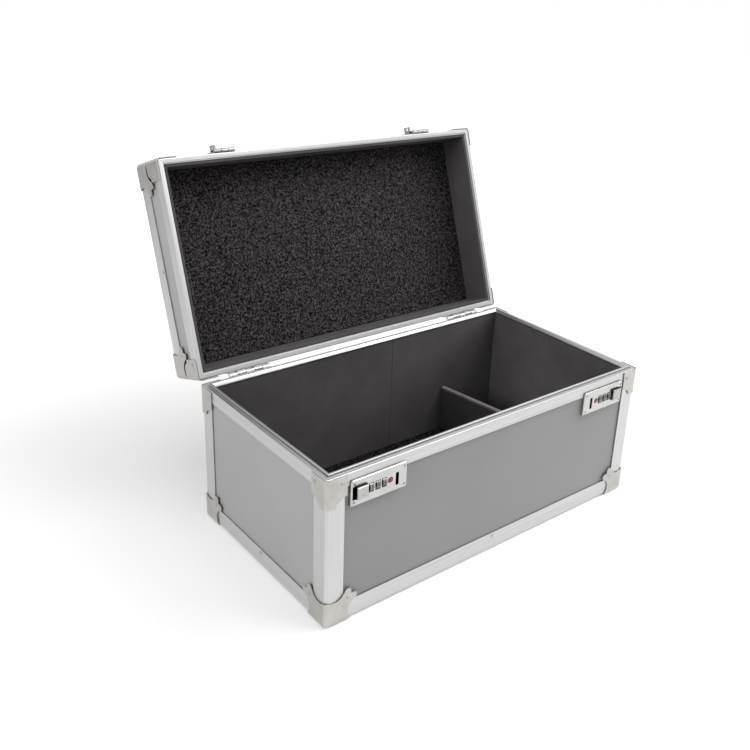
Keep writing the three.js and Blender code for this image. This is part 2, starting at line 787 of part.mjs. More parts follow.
// The bevelled front plate of the lock
function lockPlate() {
  const halfX = lockLength / 2 - lockBevel;
  const halfZ = lockHeight / 2 - lockBevel;
  const round = lockCornerRound;
  const outline = new THREE.Shape();
  outline.moveTo(round - halfX, -halfZ);
  outline.absarc(halfX - round, round - halfZ, round, -Math.PI / 2, 0, false);
  outline.absarc(halfX - round, halfZ - round, round, 0, Math.PI / 2, false);
  outline.absarc(round - halfX, halfZ - round, round, Math.PI / 2, Math.PI, false);
  outline.absarc(round - halfX, round - halfZ, round, Math.PI, 1.5 * Math.PI, false);
  const thickness = lockProud - fit;
  const geometry = new THREE.ExtrudeGeometry(outline, {
    depth: thickness - 2 * lockBevel,
    bevelThickness: lockBevel,
    bevelSize: lockBevel,
    bevelSegments: 1,
    curveSegments: arcSteps,
  });
  return solidOf(geometry.rotateX(Math.PI / 2).translate(lockX, frontAt(-fit) - lockBevel, lockZ));
}

// The box of the lock that passes through the board and the lining, grown by a clearance
function lockCase(grow, near, far) {
  const xSpan = [lockCaseX[0] - grow, lockCaseX[1] + grow];
  return block(xSpan, depthSpanY(near, far), [lockCaseBottom - grow, lockCaseTop + grow]);
}

// Pockets of the three wheels, the bolt slot, the indicator seat and the way of the button
function lockCuts() {
  const pocketRadius = wheelRadius + 2 * fit;
  const pockets = wheelCentres.map((centre) => (
    rod(pocketRadius, lockSpanX(centre, windowWidth), frontAt(wheelAxisAt), lockZ, pocketSides)
  ));
  const slot = block(
    lockSpanX(slotOffset, slotWidth),
    depthSpanY(-lockProud - overrun, slotDepth - lockProud),
    lockSpanZ(-slotDrop, slotHeight),
  );
  const seat = new THREE.CylinderGeometry(
    indicatorRadius + fit,
    indicatorRadius + fit,
    indicatorDepth + overrun,
    pocketSides,
  );
  const seatMiddle = frontAt(-lockProud + (indicatorDepth - overrun) / 2);
  const indicatorSeat = solidOf(seat.translate(lockX + indicatorOffset, seatMiddle, lockZ));
  const swept = (width) => {
    const margin = width / 2 + buttonMargin;
    return [lockX + buttonOffset - margin - buttonTravel, lockX + buttonOffset + margin];
  };
  const tall = (height) => lockSpanZ(0, height + 2 * buttonMargin);
  const recessSpan = depthSpanY(-lockProud - overrun, recessBack);
  const recess = block(swept(buttonSize), recessSpan, tall(buttonSize));
  const neckSpan = depthSpanY(recessBack - fit, cavityFront + fit);
  const neckWay = block(swept(neckWidth), neckSpan, tall(neckHeight));
  const cavity = block(swept(flangeWidth), depthSpanY(cavityFront, cavityBack), tall(flangeHeight));
  return [...pockets, slot, indicatorSeat, recess, neckWay, cavity];
}

function lockHousing() {
  const skirt = block(
    lockSpanX(0, lockLength),
    depthSpanY(-fit - lockBevel, panelFace - fit),
    [lockZ - lockHeight / 2, bandBottom - fit],
  );
  const body = joined([lockPlate(), skirt, lockCase(0, -fit - lockBevel, lockCaseBack)]);
  const reach = [
    lockX + wheelCentres[0] - windowWidth / 2 - fit,
    lockX + wheelCentres.at(-1) + windowWidth / 2 + fit,
  ];
  const axle = rod(wheelAxle, reach, frontAt(wheelAxisAt), lockZ, pinSides);
  return without(body, lockCuts()).add(axle);
}

// The button: a bevelled pad, its neck, and the flange that keeps it behind the recess floor
function lockButton() {
  const half = buttonSize / 2 - buttonBevel;
  const pad = new THREE.Shape();
  pad.moveTo(-half, -half);
  pad.lineTo(half, -half);
  pad.lineTo(half, half);
  pad.lineTo(-half, half);
  const padBack = recessBack - fit;
  const thickness = padBack + lockProud + buttonProud;
  const geometry = new THREE.ExtrudeGeometry(pad, {
    depth: thickness - 2 * buttonBevel,
    bevelThickness: buttonBevel,
    bevelSize: buttonBevel,
    bevelSegments: 1,
  });
  geometry.rotateX(Math.PI / 2);
  geometry.translate(lockX + buttonOffset, frontAt(padBack) - buttonBevel, lockZ);
  const flangeFront = cavityFront + fit;
  const neck = block(
    lockSpanX(buttonOffset, neckWidth),
    depthSpanY(padBack - fit, flangeFront + fit),
    lockSpanZ(0, neckHeight),
  );
  const flange = block(
    lockSpanX(buttonOffset, flangeWidth),
    depthSpanY(flangeFront, flangeFront + flangeThickness),
    lockSpanZ(0, flangeHeight),
  );
  return joined([solidOf(geometry), neck, flange]);
}

// A code wheel: ten flats with ridges between them, on the bore of its axle
function numberWheel(centre) {
  const outline = new THREE.Shape();
  const ridge = Math.PI / wheelFaces / 3;
  for (let face = 0; face < wheelFaces; face += 1) {
    const angle = (face * 2 * Math.PI) / wheelFaces;
    const points = [
      [wheelRadius, angle - ridge],
      [wheelRadius, angle + ridge],
      [wheelValley, angle + Math.PI / wheelFaces],
    ];
    for (const [radius, at] of points) {
      const x = radius * Math.cos(at);
      const y = radius * Math.sin(at);
      if (outline.curves.length === 0 && at === -ridge) outline.moveTo(x, y);
      else outline.lineTo(x, y);
    }
  }
  const disc = profileAlongX(outline, lockSpanX(centre, wheelThickness));
  const wheel = disc.subtract(rod(wheelBore, lockSpanX(centre, windowWidth), 0, 0, pinSides));
  return reflected(wheel, [1, 1, 1], [0, frontAt(wheelAxisAt), lockZ]);
}

// The bead of the lock, a low dome in its seat
function lockIndicator() {
  const back = indicatorDepth - fit;
  const points = [
    new THREE.Vector2(0, -back),
    new THREE.Vector2(indicatorRadius, -back),
    new THREE.Vector2(indicatorRadius, -back / 2),
    new THREE.Vector2(indicatorRadius - indicatorRound, -indicatorInset),
    new THREE.Vector2(0, -indicatorInset),
  ];
  const bead = new THREE.LatheGeometry(points, pocketSides).rotateX(Math.PI);
  return solidOf(bead.translate(lockX + indicatorOffset, frontAt(-lockProud), lockZ));
}

// Divider board with a rounded top, sheared so that both ends stay flat on the lining
function dividerBoard() {
  const half = dividerThickness / 2;
  const bottom = bottomPanelTop + fit + floorSpongeThickness + fit;
  const top = bottom + dividerHeight;
  const round = dividerRound;
  const outline = new THREE.Shape();
  outline.moveTo(-half, bottom);
  outline.lineTo(half, bottom);
  outline.absarc(half - round, top - round, round, 0, Math.PI / 2, false);
  outline.absarc(round - half, top - round, round, Math.PI / 2, Math.PI, false);
  const end = railY - rimInner - fit;
  const board = geometryOf(profileAlongY(outline, [-end, end]));
  const shear = new THREE.Matrix4().makeShear(0, 0, -dividerSkew / (2 * end), 0, 0, 0);
  const middle = dividerShare * (railX - liningBack) + dividerSkew / 2;
  return solidOf(board.applyMatrix4(shear).translate(middle, 0, 0));
}

// Foam sheets inside the lining
function foamSheet(bottom, thickness) {
  const halfX = railX - liningBack - fit;
  const halfY = railY - liningBack - fit;
  return block([-halfX, halfX], [-halfY, halfY], [bottom, bottom + thickness]);
}

// Handle: a bent grip that swings on two pins, drawn upright round its axis
function handleGrip() {
  const half = handleSpan / 2;
  const spine = new THREE.CatmullRomCurve3([
    new THREE.Vector3(-half, 0, 0),
    new THREE.Vector3(-half, 0, handleRise - handleBend - handleBoss),
    new THREE.Vector3(-half + handleBendIn, 0, handleRise - handleBendIn),
    new THREE.Vector3(-half + handleBendRun, 0, handleRise),
    new THREE.Vector3(0, 0, handleRise),
    new THREE.Vector3(half - handleBendRun, 0, handleRise),
    new THREE.Vector3(half - handleBendIn, 0, handleRise - handleBendIn),
    new THREE.Vector3(half, 0, handleRise - handleBend - handleBoss),
    new THREE.Vector3(half, 0, 0),
  ]);
  const section = new THREE.Shape();
  section.absellipse(0, 0, handleGripWidth / 2, handleGripDepth / 2, 0, 2 * Math.PI, false, 0);
  const bar = solidOf(new THREE.ExtrudeGeometry(section, {
    extrudePath: spine,
    steps: handleSteps,
    curveSegments: handleArcSteps,
  }));
  const bossEnd = half + handleGripDepth / 2;
  const pinEnd = bossEnd + bracketGap + bracketEar + overrun;
  const boss = rod(handleBoss, [half - handleGripDepth / 2, bossEnd], 0, 0);
  const pin = rod(handlePin, [half, pinEnd], 0, 0);
  const side = boss.add(pin);
  return joined([bar, side, mirroredX(side)]);
}

// Bracket at the right end of the handle, drawn round the handle's axis
function handleBracket() {
  const earStart = handleSpan / 2 + handleGripDepth / 2 + bracketGap;
  const earSpan = [earStart, earStart + bracketEar];
  const foot = -handlePivotRise + fit;
  const plateStart = earStart - bracketToe;
  const plateSpan = [plateStart, plateStart + bracketLength];
  const plate = block(plateSpan, [-bracketHalfWidth, bracketHalfWidth], [foot, foot + bracketWall]);
  const ear = block(earSpan, [-bracketEarHalf, bracketEarHalf], [foot, 0]);
  const crown = rod(bracketEarHalf, earSpan, 0, 0, pocketSides);
  const rivetX = plateSpan[1] - bracketRivetInset;
  const heads = [-bracketRivetPlace, bracketRivetPlace].map((y) => (
    solidOf(rivet(bracketWall / 2).translate(rivetX, y, foot + bracketWall))
  ));
  const eye = rod(handleEye, [earStart - overrun, earStart + bracketEar + overrun], 0, 0);
  return joined([plate, ear, crown, ...heads]).subtract(eye);
}

// The assembly
const assembly = new THREE.Group();
const lid = new THREE.Group();
const lidFrame = new THREE.Group();
lid.position.set(0, hingeY, hingeZ);
lid.rotation.x = -lidOpenAngle;
lidFrame.position.set(0, -hingeY, -hingeZ);
lid.add(lidFrame);
assembly.add(lid);

function place(group, name, solid, material) {
  const mesh = new THREE.Mesh(geometryOf(solid), material);
  mesh.name = name;
  group.add(mesh);
}

const sides = [['left', -1], ['right', 1]];
const corners = [
  ['front_left', -1, -1],
  ['front_right', 1, -1],
  ['rear_left', -1, 1],
  ['rear_right', 1, 1],
];
const sided = (solid, sign) => (sign < 0 ? solid : mirroredX(solid));

// Base
const wallBoard = (xSpan, ySpan) => block(xSpan, ySpan, baseWallSpan).intersect(baseEnvelope);
const frontPanel = wallBoard(acrossX, frontSpan);
const leftCaseWay = lockCase(fit, panelFace - overrun, liningBack + overrun);
const caseWays = [leftCaseWay, mirroredX(leftCaseWay)];
place(assembly, 'base_bottom_panel', bottomPanel(), panelFinish);
place(assembly, 'base_front_panel', without(frontPanel, caseWays), panelFinish);
place(assembly, 'base_rear_panel', wallBoard(acrossX, rearSpan), panelFinish);
place(assembly, 'base_left_panel', wallBoard(leftSpan, betweenY), panelFinish);
place(assembly, 'base_right_panel', wallBoard(rightSpan, betweenY), panelFinish);
place(assembly, 'base_bottom_frame', riveted(edgeFrame(railBottom, 1), railBottom, 1), railFinish);
place(assembly, 'base_rim_frame', baseRimFrame(), railFinish);
const baseLining = wallRing(liningFace, liningBack, baseWallSpan);
place(assembly, 'base_wall_lining', without(baseLining, caseWays), liningFinish);
place(assembly, 'base_floor_sponge', foamSheet(bottomPanelTop + fit, floorSpongeThickness), spongeFinish);
place(assembly, 'divider', dividerBoard(), liningFinish);

const uprightRail = cornerRail();
const footCap = cornerCap([1, 2]);
const topCap = cornerCap([0, 1, 2]);
const basePlate = rimPlate(basePlateEnd);
const lidDrop = railTop - lidRim - capArm - capPlateSlit;
const lidPlate = rimPlate({ drop: lidDrop, tab: lidPlateTab, bend: lidPlateBend, bendDrop: lidDrop });
for (const [name, sx, sy] of corners) {
  place(assembly, `base_corner_rail_${name}`, atCorner(uprightRail, sx, sy, 0, 1), railFinish);
  place(assembly, `base_corner_cap_${name}`, atCorner(footCap, sx, sy, railBottom, 1), capFinish);
  place(assembly, `base_rim_plate_${name}`, atCorner(basePlate, sx, sy, rimTop, -1), capFinish);
  place(lidFrame, `lid_corner_cap_${name}`, atCorner(topCap, sx, sy, railTop, -1), capFinish);
  place(lidFrame, `lid_rim_plate_${name}`, atCorner(lidPlate, sx, sy, lidRim, 1), capFinish);
}

// Locks and hinges
const housing = lockHousing();
const button = lockButton();
const bead = lockIndicator();
const wheels = wheelCentres.map(numberWheel);
const baseLeaf = hingeBaseLeaf();
const lidLeaf = hingeLidLeaf();
const hingeX = caseLength / 2 - hingeInset - hingeWidth / 2;
for (const [name, sign] of sides) {
  place(assembly, `lock_housing_${name}`, sided(housing, sign), chromeFinish);
  place(assembly, `lock_button_${name}`, sided(button, sign), chromeFinish);
  place(assembly, `lock_indicator_${name}`, sided(bead, sign), indicatorFinish);
  wheels.forEach((wheel, i) => {
    place(assembly, `number_wheel_${name}_${i + 1}`, sided(wheel, sign), wheelFinish);
  });
  const atHinge = [sign * hingeX, hingeY, hingeZ];
  place(assembly, `hinge_base_leaf_${name}`, reflected(baseLeaf, [1, 1, 1], atHinge), chromeFinish);
  place(lidFrame, `hinge_lid_leaf_${name}`, reflected(lidLeaf, [1, 1, 1], atHinge), chromeFinish);
}

// Lid
const lidPanelSpan = [lidPanelUnder, railTop - panelFace];
const lidPanel = block(acrossX, acrossY, lidPanelSpan).intersect(lidEnvelope);
place(lidFrame, 'lid_top_panel', lidPanel, panelFinish);
place(lidFrame, 'lid_wall_frame', wallRing(panelFace, panelBack, lidWallSpan), panelFinish);
place(lidFrame, 'lid_top_frame', riveted(edgeFrame(railTop, -1), railTop, -1), railFinish);
place(lidFrame, 'lid_rim_frame', lidRimFrame(), railFinish);
place(lidFrame, 'lid_wall_lining', wallRing(liningFace, liningBack, lidLiningSpan), liningFinish);
const lidSpongeBottom = lidPanelUnder - fit - lidSpongeThickness;
place(lidFrame, 'lid_sponge', foamSheet(lidSpongeBottom, lidSpongeThickness), spongeFinish);

// Hasps: the mount is fixed to the lid, the flap lies folded back
const mountLeaf = haspMount();
const flap = haspFlap();
const haspY = -railY - haspAxisProud;
const haspZ = lidRim + haspAxisRise;
for (const [name, sign] of sides) {
  const atAxis = [sign * (caseLength / 2 - haspInset), haspY, haspZ];
  place(lidFrame, `hasp_mount_${name}`, reflected(mountLeaf, [1, 1, 1], atAxis), chromeFinish);
  const hinge = new THREE.Group();
  hinge.position.fromArray(atAxis);
  hinge.rotation.x = -haspFoldAngle;
  place(hinge, `hasp_flap_${name}`, flap, chromeFinish);
  lidFrame.add(hinge);
}

// Handle: it hangs straight down when the lid is open
const handle = new THREE.Group();
handle.position.set(0, 0, railTop - panelFace + handlePivotRise);
handle.rotation.x = lidOpenAngle - Math.PI;
place(handle, 'handle_grip', handleGrip(), gripFinish);
lidFrame.add(handle);
const bracket = reflected(handleBracket(), [1, 1, 1], handle.position.toArray());
place(lidFrame, 'handle_bracket_right', bracket, chromeFinish);
place(lidFrame, 'handle_bracket_left', mirroredX(bracket), chromeFinish);

export default assembly;
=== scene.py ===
# %% [markdown]
# # A camera hard case with an aluminium frame
# The case stands open: a deep tray, a lid that leans back on its hinges, two combination locks, hasps,
# pressed corner caps and a dark lining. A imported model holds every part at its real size. This lesson
# takes each part over, gives it fine edges and a finish, and adds what is too fine for the packed
# model: rivet heads, screws, figures on the code wheels, and the pores of the sponge.

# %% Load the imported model
import json
import math
import bmesh
import bpy
from mathutils import Matrix, Vector


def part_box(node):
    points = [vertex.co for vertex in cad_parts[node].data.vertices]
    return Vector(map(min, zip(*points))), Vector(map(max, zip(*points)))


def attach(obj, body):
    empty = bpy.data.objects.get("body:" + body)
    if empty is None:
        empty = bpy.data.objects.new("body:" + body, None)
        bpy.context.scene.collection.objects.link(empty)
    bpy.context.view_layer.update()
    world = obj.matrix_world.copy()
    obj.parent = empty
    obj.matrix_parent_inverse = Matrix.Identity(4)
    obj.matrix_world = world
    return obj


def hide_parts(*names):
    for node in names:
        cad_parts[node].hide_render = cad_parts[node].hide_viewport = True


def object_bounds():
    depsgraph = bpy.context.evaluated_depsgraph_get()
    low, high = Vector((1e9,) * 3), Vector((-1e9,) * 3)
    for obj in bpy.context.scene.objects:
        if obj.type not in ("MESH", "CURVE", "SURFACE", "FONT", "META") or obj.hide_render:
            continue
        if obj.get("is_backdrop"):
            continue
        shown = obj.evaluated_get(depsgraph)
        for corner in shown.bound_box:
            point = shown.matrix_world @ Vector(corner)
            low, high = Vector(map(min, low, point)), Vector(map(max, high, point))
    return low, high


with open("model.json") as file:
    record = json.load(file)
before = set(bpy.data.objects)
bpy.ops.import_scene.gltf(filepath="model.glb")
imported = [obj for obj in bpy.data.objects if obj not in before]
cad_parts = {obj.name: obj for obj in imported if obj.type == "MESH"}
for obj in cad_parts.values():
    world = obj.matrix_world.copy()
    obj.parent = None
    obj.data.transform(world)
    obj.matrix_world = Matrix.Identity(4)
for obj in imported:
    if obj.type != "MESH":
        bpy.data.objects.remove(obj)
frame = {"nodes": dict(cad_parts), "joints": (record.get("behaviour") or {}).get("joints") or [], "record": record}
packed_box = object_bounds()
millimetre = 0.001
print("parts in the packed model:", len(frame["nodes"]))
print("packed size in metres:", [round(high - low, 4) for low, high in zip(*packed_box)])

# %% [markdown]
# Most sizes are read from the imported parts, so that nothing here has to be measured twice. The upright
# rail at the front left corner gives the planes of all the rails. The lid is stored open, and its hinge
# says how far: with that turn undone, the lid can be dressed in the plain axes of a closed case.

# %% Planes of the rails and the turn of the lid
rail_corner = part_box("base_corner_rail_front_left")[0]
rail_x = -rail_corner.x
rail_y = -rail_corner.y

lid_hinge = next(joint for joint in frame["joints"] if joint["name"] == "lid_hinge")
lid_pivot = Vector(lid_hinge["pos_m"])
lid_turn = Matrix.Rotation(math.radians(lid_hinge["range_deg"][0]), 4, Vector(lid_hinge["axis"]))
closed_from_open = Matrix.Translation(lid_pivot) @ lid_turn @ Matrix.Translation(-lid_pivot)
open_from_closed = closed_from_open.inverted()
unturned = Matrix.Identity(4)
print("rails at x", round(rail_x, 4), "y", round(rail_y, 4), "lid turn", lid_hinge["range_deg"][0])


def closed_box(node):
    """Lowest and highest corner of a lid part, as if the lid were shut."""
    places = [closed_from_open @ vertex.co for vertex in frame["nodes"][node].data.vertices]
    low = Vector(min(place[axis] for place in places) for axis in range(3))
    high = Vector(max(place[axis] for place in places) for axis in range(3))
    return low, high


# %% [markdown]
# ## Building materials in code
# A material is a small graph of nodes. One helper adds a node, sets its options and fills its inputs,
# with a number, a colour or a link from another node. The helpers after it are built on that one, and
# each has the name of what it gives: noise, a span of values, a colour, a bump.

# %% Helpers for nodes of every tree
def add_node(tree, kind, inputs=None, **options):
    """Adds a node; an input given as a socket is linked, and anything else is set as its value."""
    made = tree.nodes.new(kind)
    for option, value in options.items():
        setattr(made, option, value)
    for name, value in (inputs or {}).items():
        if isinstance(value, bpy.types.NodeSocket):
            tree.links.new(value, made.inputs[name])
        else:
            made.inputs[name].default_value = value
    return made


def blank_material(name, **shader_values):
    """A material with its Principled shader, whose sockets take the given values."""
    material = bpy.data.materials.new(name)
    material.use_nodes = True
    shader = material.node_tree.nodes["Principled BSDF"]
    for socket, value in shader_values.items():
        shader.inputs[socket.replace("_", " ")].default_value = value
    return material, material.node_tree, shader


def grey(level, warmth=0.0):
    """A near-neutral colour in linear light; warmth above 0 leans to yellow."""
    return (level * (1 + warmth), level, level * (1 - 2 * warmth), 1)


def rosy(level):
    """A dark grey that leans to red, as black dye does in a bright light."""
    more_red = 1.09
    more_blue = 1.01
    return (level * more_red, level, level * more_blue, 1)


def noise(tree, place, scale, detail=2.0, roughness=0.5):
    """Smooth noise around a half, with the given number of features in a metre."""
    made = add_node(
        tree,
        "ShaderNodeTexNoise",
        {"Vector": place, "Scale": scale, "Detail": detail, "Roughness": roughness},
    )
    return made.outputs["Fac"]


def maths(tree, operation, *values):
    """A number worked out from one, two or three others."""
    made = add_node(tree, "ShaderNodeMath", dict(enumerate(values)), operation=operation)
    return made.outputs[0]


def spread(tree, value, low, high, source=(0.3, 0.7), ease="LINEAR"):
    """Stretches a value from the source span to the given span, evenly or with soft ends."""
    made = add_node(
        tree,
        "ShaderNodeMapRange",
        {
            "Value": value,
            "From Min": source[0],
            "From Max": source[1],
            "To Min": low,
            "To Max": high,
        },
        interpolation_type=ease,
    )
    return made.outputs["Result"]


def shades(tree, value, dark, light, source=(0.3, 0.7)):
    """A colour between dark and light, as the value goes through the source span."""
    ramp = add_node(tree, "ShaderNodeValToRGB", {"Fac": value})
    ramp.color_ramp.elements[0].position = source[0]
    ramp.color_ramp.elements[0].color = dark
    ramp.color_ramp.elements[1].position = source[1]
    ramp.color_ramp.elements[1].color = light
    return ramp.outputs["Color"]


def times(tree, first, second):
    """The product of two colours."""
    made = add_node(
        tree,
        "ShaderNodeMix",
        {"Factor": 1.0, "A": first, "B": second},
        data_type="RGBA",
        blend_type="MULTIPLY",
    )
    return made.outputs["Result"]


def relief(tree, height, depth, under=None):
    """A bump of the given depth in metres; under is a coarser bump that it lies on."""
    inputs = {"Height": height, "Distance": depth, "Strength": 1.0}
    if under is not None:
        inputs["Normal"] = under
    return add_node(tree, "ShaderNodeBump", inputs).outputs["Normal"]


def near_plane(tree, place, axis, level, reach):
    """One on a plane across an axis, falling to zero at the given reach on both sides."""
    parts = add_node(tree, "ShaderNodeSeparateXYZ", {"Vector": place})
    offset = maths(tree, "SUBTRACT", parts.outputs[axis], level)
    distance = maths(tree, "ABSOLUTE", offset)
    return spread(tree, distance, 1.0, 0.0, source=(0.0, reach), ease="SMOOTHSTEP")


def object_place(tree):
    return add_node(tree, "ShaderNodeTexCoord").outputs["Object"]


# %% [markdown]
# ## Grey board
# The walls are boards with a smooth grey laminate. Close up, such a laminate has a fine pebbled skin,
# and its tone drifts a little across a wall. Two noises give that: one of about half a millimetre for
# the skin, in bump and in roughness, and one of a hand's breadth for the drift.

# %% Laminate of the walls
def laminate_material():
    material, tree, shader = blank_material("grey_laminate", Specular_IOR_Level=0.4)
    place = object_place(tree)
    pebble_depth = 0.03 * millimetre
    pebbles = noise(tree, place, scale=1700, detail=1.5)
    drift = noise(tree, place, scale=9, detail=3)
    tone = shades(tree, drift, grey(0.292, 0.002), grey(0.312, 0.002))
    speckle = shades(tree, pebbles, grey(0.93), grey(1.0))
    tree.links.new(times(tree, tone, speckle), shader.inputs["Base Color"])
    tree.links.new(spread(tree, pebbles, 0.42, 0.58), shader.inputs["Roughness"])
    tree.links.new(relief(tree, pebbles, pebble_depth), shader.inputs["Normal"])
    return material


laminate = laminate_material()
print("material", laminate.name)

# %% [markdown]
# ## Brushed aluminium
# Rails and rims are drawn through a die and brushed lengthways, so the grain always follows the length
# of the rail. The parts carry a UV map called grain, which runs along the rail in its first number and
# across it in its second. Noise that is drawn out nearly two hundred times along the rail makes the
# fine streaks, and a second noise, drawn out less, lays broader bands under them.

# %% Aluminium of the rails
streak_scale = (7, 1300, 1)
band_scale = (5, 330, 1)
streak_depth = 0.008 * millimetre


def brushed_material(name, dark, light, smooth, rough):
    material, tree, shader = blank_material(name, Metallic=1.0, Anisotropic=0.45)
    grain = add_node(tree, "ShaderNodeUVMap", uv_map="grain").outputs["UV"]
    fine = add_node(tree, "ShaderNodeMapping", {"Vector": grain, "Scale": streak_scale})
    streaks = noise(tree, fine.outputs["Vector"], scale=1, detail=4, roughness=0.6)
    broad = add_node(tree, "ShaderNodeMapping", {"Vector": grain, "Scale": band_scale})
    bands = noise(tree, broad.outputs["Vector"], scale=1, detail=2)
    brushing = maths(tree, "MULTIPLY", maths(tree, "ADD", streaks, bands), 0.5)
    tree.links.new(shades(tree, brushing, dark, light), shader.inputs["Base Color"])
    tree.links.new(spread(tree, brushing, smooth, rough), shader.inputs["Roughness"])
    tree.links.new(relief(tree, streaks, streak_depth), shader.inputs["Normal"])
    tangent = add_node(tree, "ShaderNodeTangent", direction_type="UV_MAP", uv_map="grain")
    tree.links.new(tangent.outputs["Tangent"], shader.inputs["Tangent"])
    return material


aluminium = brushed_material(
    "brushed_aluminium", dark=grey(0.45), light=grey(0.6), smooth=0.3, rough=0.44
)
print("material", aluminium.name)

# %% [markdown]
# ## Plated steel
# Corner caps and rim plates are pressed from sheet steel and nickel plated, a little darker and warmer
# than the rails. Pressing leaves a faint unevenness that bends reflections, and handling leaves a haze.
# Locks, hinges and brackets are made the same way with a brighter, smoother plate. The hasps and the
# code wheels are duller. The rivets are a little darker than the caps, as painted shade for the ring
# round each head.

# %% Nickel of the caps and chrome of the hardware
scuff_depth = 0.006 * millimetre


def plated_material(name, dark, light, smooth, rough, dent):
    material, tree, shader = blank_material(name, Metallic=1.0)
    place = object_place(tree)
    haze = noise(tree, place, scale=70, detail=5, roughness=0.65)
    pressing = noise(tree, place, scale=120, detail=1)
    scuffs = noise(tree, place, scale=2600, detail=2)
    tree.links.new(shades(tree, haze, dark, light), shader.inputs["Base Color"])
    tree.links.new(spread(tree, haze, smooth, rough), shader.inputs["Roughness"])
    pressed = relief(tree, pressing, dent)
    worn = relief(tree, scuffs, scuff_depth, under=pressed)
    tree.links.new(worn, shader.inputs["Normal"])
    return material


nickel = plated_material(
    "nickel_plate",
    dark=grey(0.38, 0.03),
    light=grey(0.48, 0.025),
    smooth=0.26,
    rough=0.42,
    dent=0.25 * millimetre,
)
chrome = plated_material(
    "bright_plate",
    dark=grey(0.46),
    light=grey(0.58),
    smooth=0.16,
    rough=0.3,
    dent=0.1 * millimetre,
)
# A little darker than the nickel: painted shade for the ring round each rivet head. The lock screws share it.
rivet_steel = plated_material(
    "rivet_steel",
    dark=grey(0.3),
    light=grey(0.46),
    smooth=0.22,
    rough=0.36,
    dent=0.02 * millimetre,
)
hasp_plate = plated_material(
    "hasp_plate",
    dark=grey(0.3),
    light=grey(0.44),
    smooth=0.2,
    rough=0.34,
    dent=0.1 * millimetre,
)
wheel_plate = plated_material(
    "wheel_plate",
    dark=grey(0.14),
    light=grey(0.27),
    smooth=0.24,
    rough=0.4,
    dent=0.05 * millimetre,
)
plates = [nickel, chrome, rivet_steel, hasp_plate, wheel_plate]
print("materials", [material.name for material in plates])

# %% [markdown]
# The release buttons and the lock plates are bright plate, with light and shade painted on. On a
# button, the way that a surface faces tells its front from its sides, and the sides get a painted dark
# reflection. On a lock plate, painted shade fills the pockets of the wheels, which are found by their
# place: behind the thin face, and inside the edge all round.

# %% Buttons and lock plates with painted shade and painted dark reflection
def button_material():
    """Bright on the front and the back, with a painted dark reflection on the sides."""
    material, tree, shader = blank_material("button_plate", Metallic=1.0)
    place = object_place(tree)
    haze = noise(tree, place, scale=300, detail=3)
    bright = shades(tree, haze, grey(0.36, 0.01), grey(0.45, 0.01))
    normal = add_node(tree, "ShaderNodeTexCoord").outputs["Normal"]
    facing = add_node(tree, "ShaderNodeSeparateXYZ", {"Vector": normal})
    to_front = maths(tree, "ABSOLUTE", facing.outputs["Y"])
    # Painted dark reflection: the sides of the button, told by the way they face, are darkened.
    sides = shades(tree, to_front, grey(0.12), grey(1.0), source=(0.2, 0.8))
    tree.links.new(times(tree, bright, sides), shader.inputs["Base Color"])
    tree.links.new(spread(tree, haze, 0.24, 0.36), shader.inputs["Roughness"])
    return material


def lock_material(node):
    """Bright plate outside, with painted shade in the pockets, which lie behind the face and inside the edge."""
    material = plated_material(
        "lock_plate",
        dark=grey(0.44, 0.01),
        light=grey(0.54, 0.01),
        smooth=0.2,
        rough=0.32,
        dent=0.1 * millimetre,
    )
    tree = material.node_tree
    shader = tree.nodes["Principled BSDF"]
    low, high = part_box(node)
    middle = (low + high) / 2
    half = (high - low) / 2
    edge = 1.2 * millimetre
    face_thickness = 0.9 * millimetre
    place = add_node(tree, "ShaderNodeSeparateXYZ", {"Vector": object_place(tree)}).outputs
    either_side = maths(tree, "ABSOLUTE", place["X"])
    inside_x = maths(tree, "COMPARE", either_side, abs(middle.x), half.x - edge)
    inside_z = maths(tree, "COMPARE", place["Z"], middle.z, half.z - edge)
    behind = maths(tree, "GREATER_THAN", place["Y"], low.y + face_thickness)
    pocket = maths(tree, "MULTIPLY", maths(tree, "MULTIPLY", inside_x, inside_z), behind)
    plain = shader.inputs["Base Color"].links[0].from_socket
    # Painted shade: the pockets behind the face are darkened almost to black.
    painted_pocket_shade = shades(tree, pocket, grey(1.0), grey(0.03), source=(0.0, 1.0))
    tree.links.new(times(tree, plain, painted_pocket_shade), shader.inputs["Base Color"])
    return material


button_plate = button_material()
lock_plate = lock_material("lock_housing_left")
print("materials", button_plate.name, lock_plate.name)

# %% [markdown]
# ## Lining, sponge and small plastics
# The walls inside and the divider are covered with a short dark felt, which scatters light at a grazing
# angle, so it has a faint sheen. The felt of the rear wall is joined with an upright seam. The felt of the
# divider is painted darker as shade, and a painted highlight runs along its top. The sponge is nearly
# black with paler cell edges. The beads of the locks are glossy and red, and the grip of the handle is a
# matt black moulding.

# %% Soft and plastic finishes
cloud_depth = 0.4 * millimetre
fibre_depth = 0.12 * millimetre
cell_depth = 0.5 * millimetre


def felt_material(name, dark, light, sheen, line=None):
    """Felt between two tones; a line is its axis, level and reach, and how light it is there."""
    material, tree, shader = blank_material(
        name, Roughness=0.95, Specular_IOR_Level=0.02, Sheen_Weight=sheen, Sheen_Roughness=0.6
    )
    place = object_place(tree)
    fibres = noise(tree, place, scale=2400, detail=3, roughness=0.7)
    clouds = noise(tree, place, scale=22, detail=4, roughness=0.6)
    tone = shades(tree, clouds, dark, light)
    colour = times(tree, tone, shades(tree, fibres, grey(0.72), grey(1.15)))
    if line is not None:
        axis, level, reach, lightness = line
        on_line = near_plane(tree, place, axis, level, reach)
        marking = shades(tree, on_line, grey(1.0), grey(lightness), source=(0.0, 1.0))
        colour = times(tree, colour, marking)
    tree.links.new(colour, shader.inputs["Base Color"])
    soft = relief(tree, clouds, cloud_depth)
    tree.links.new(relief(tree, fibres, fibre_depth, under=soft), shader.inputs["Normal"])
    return material


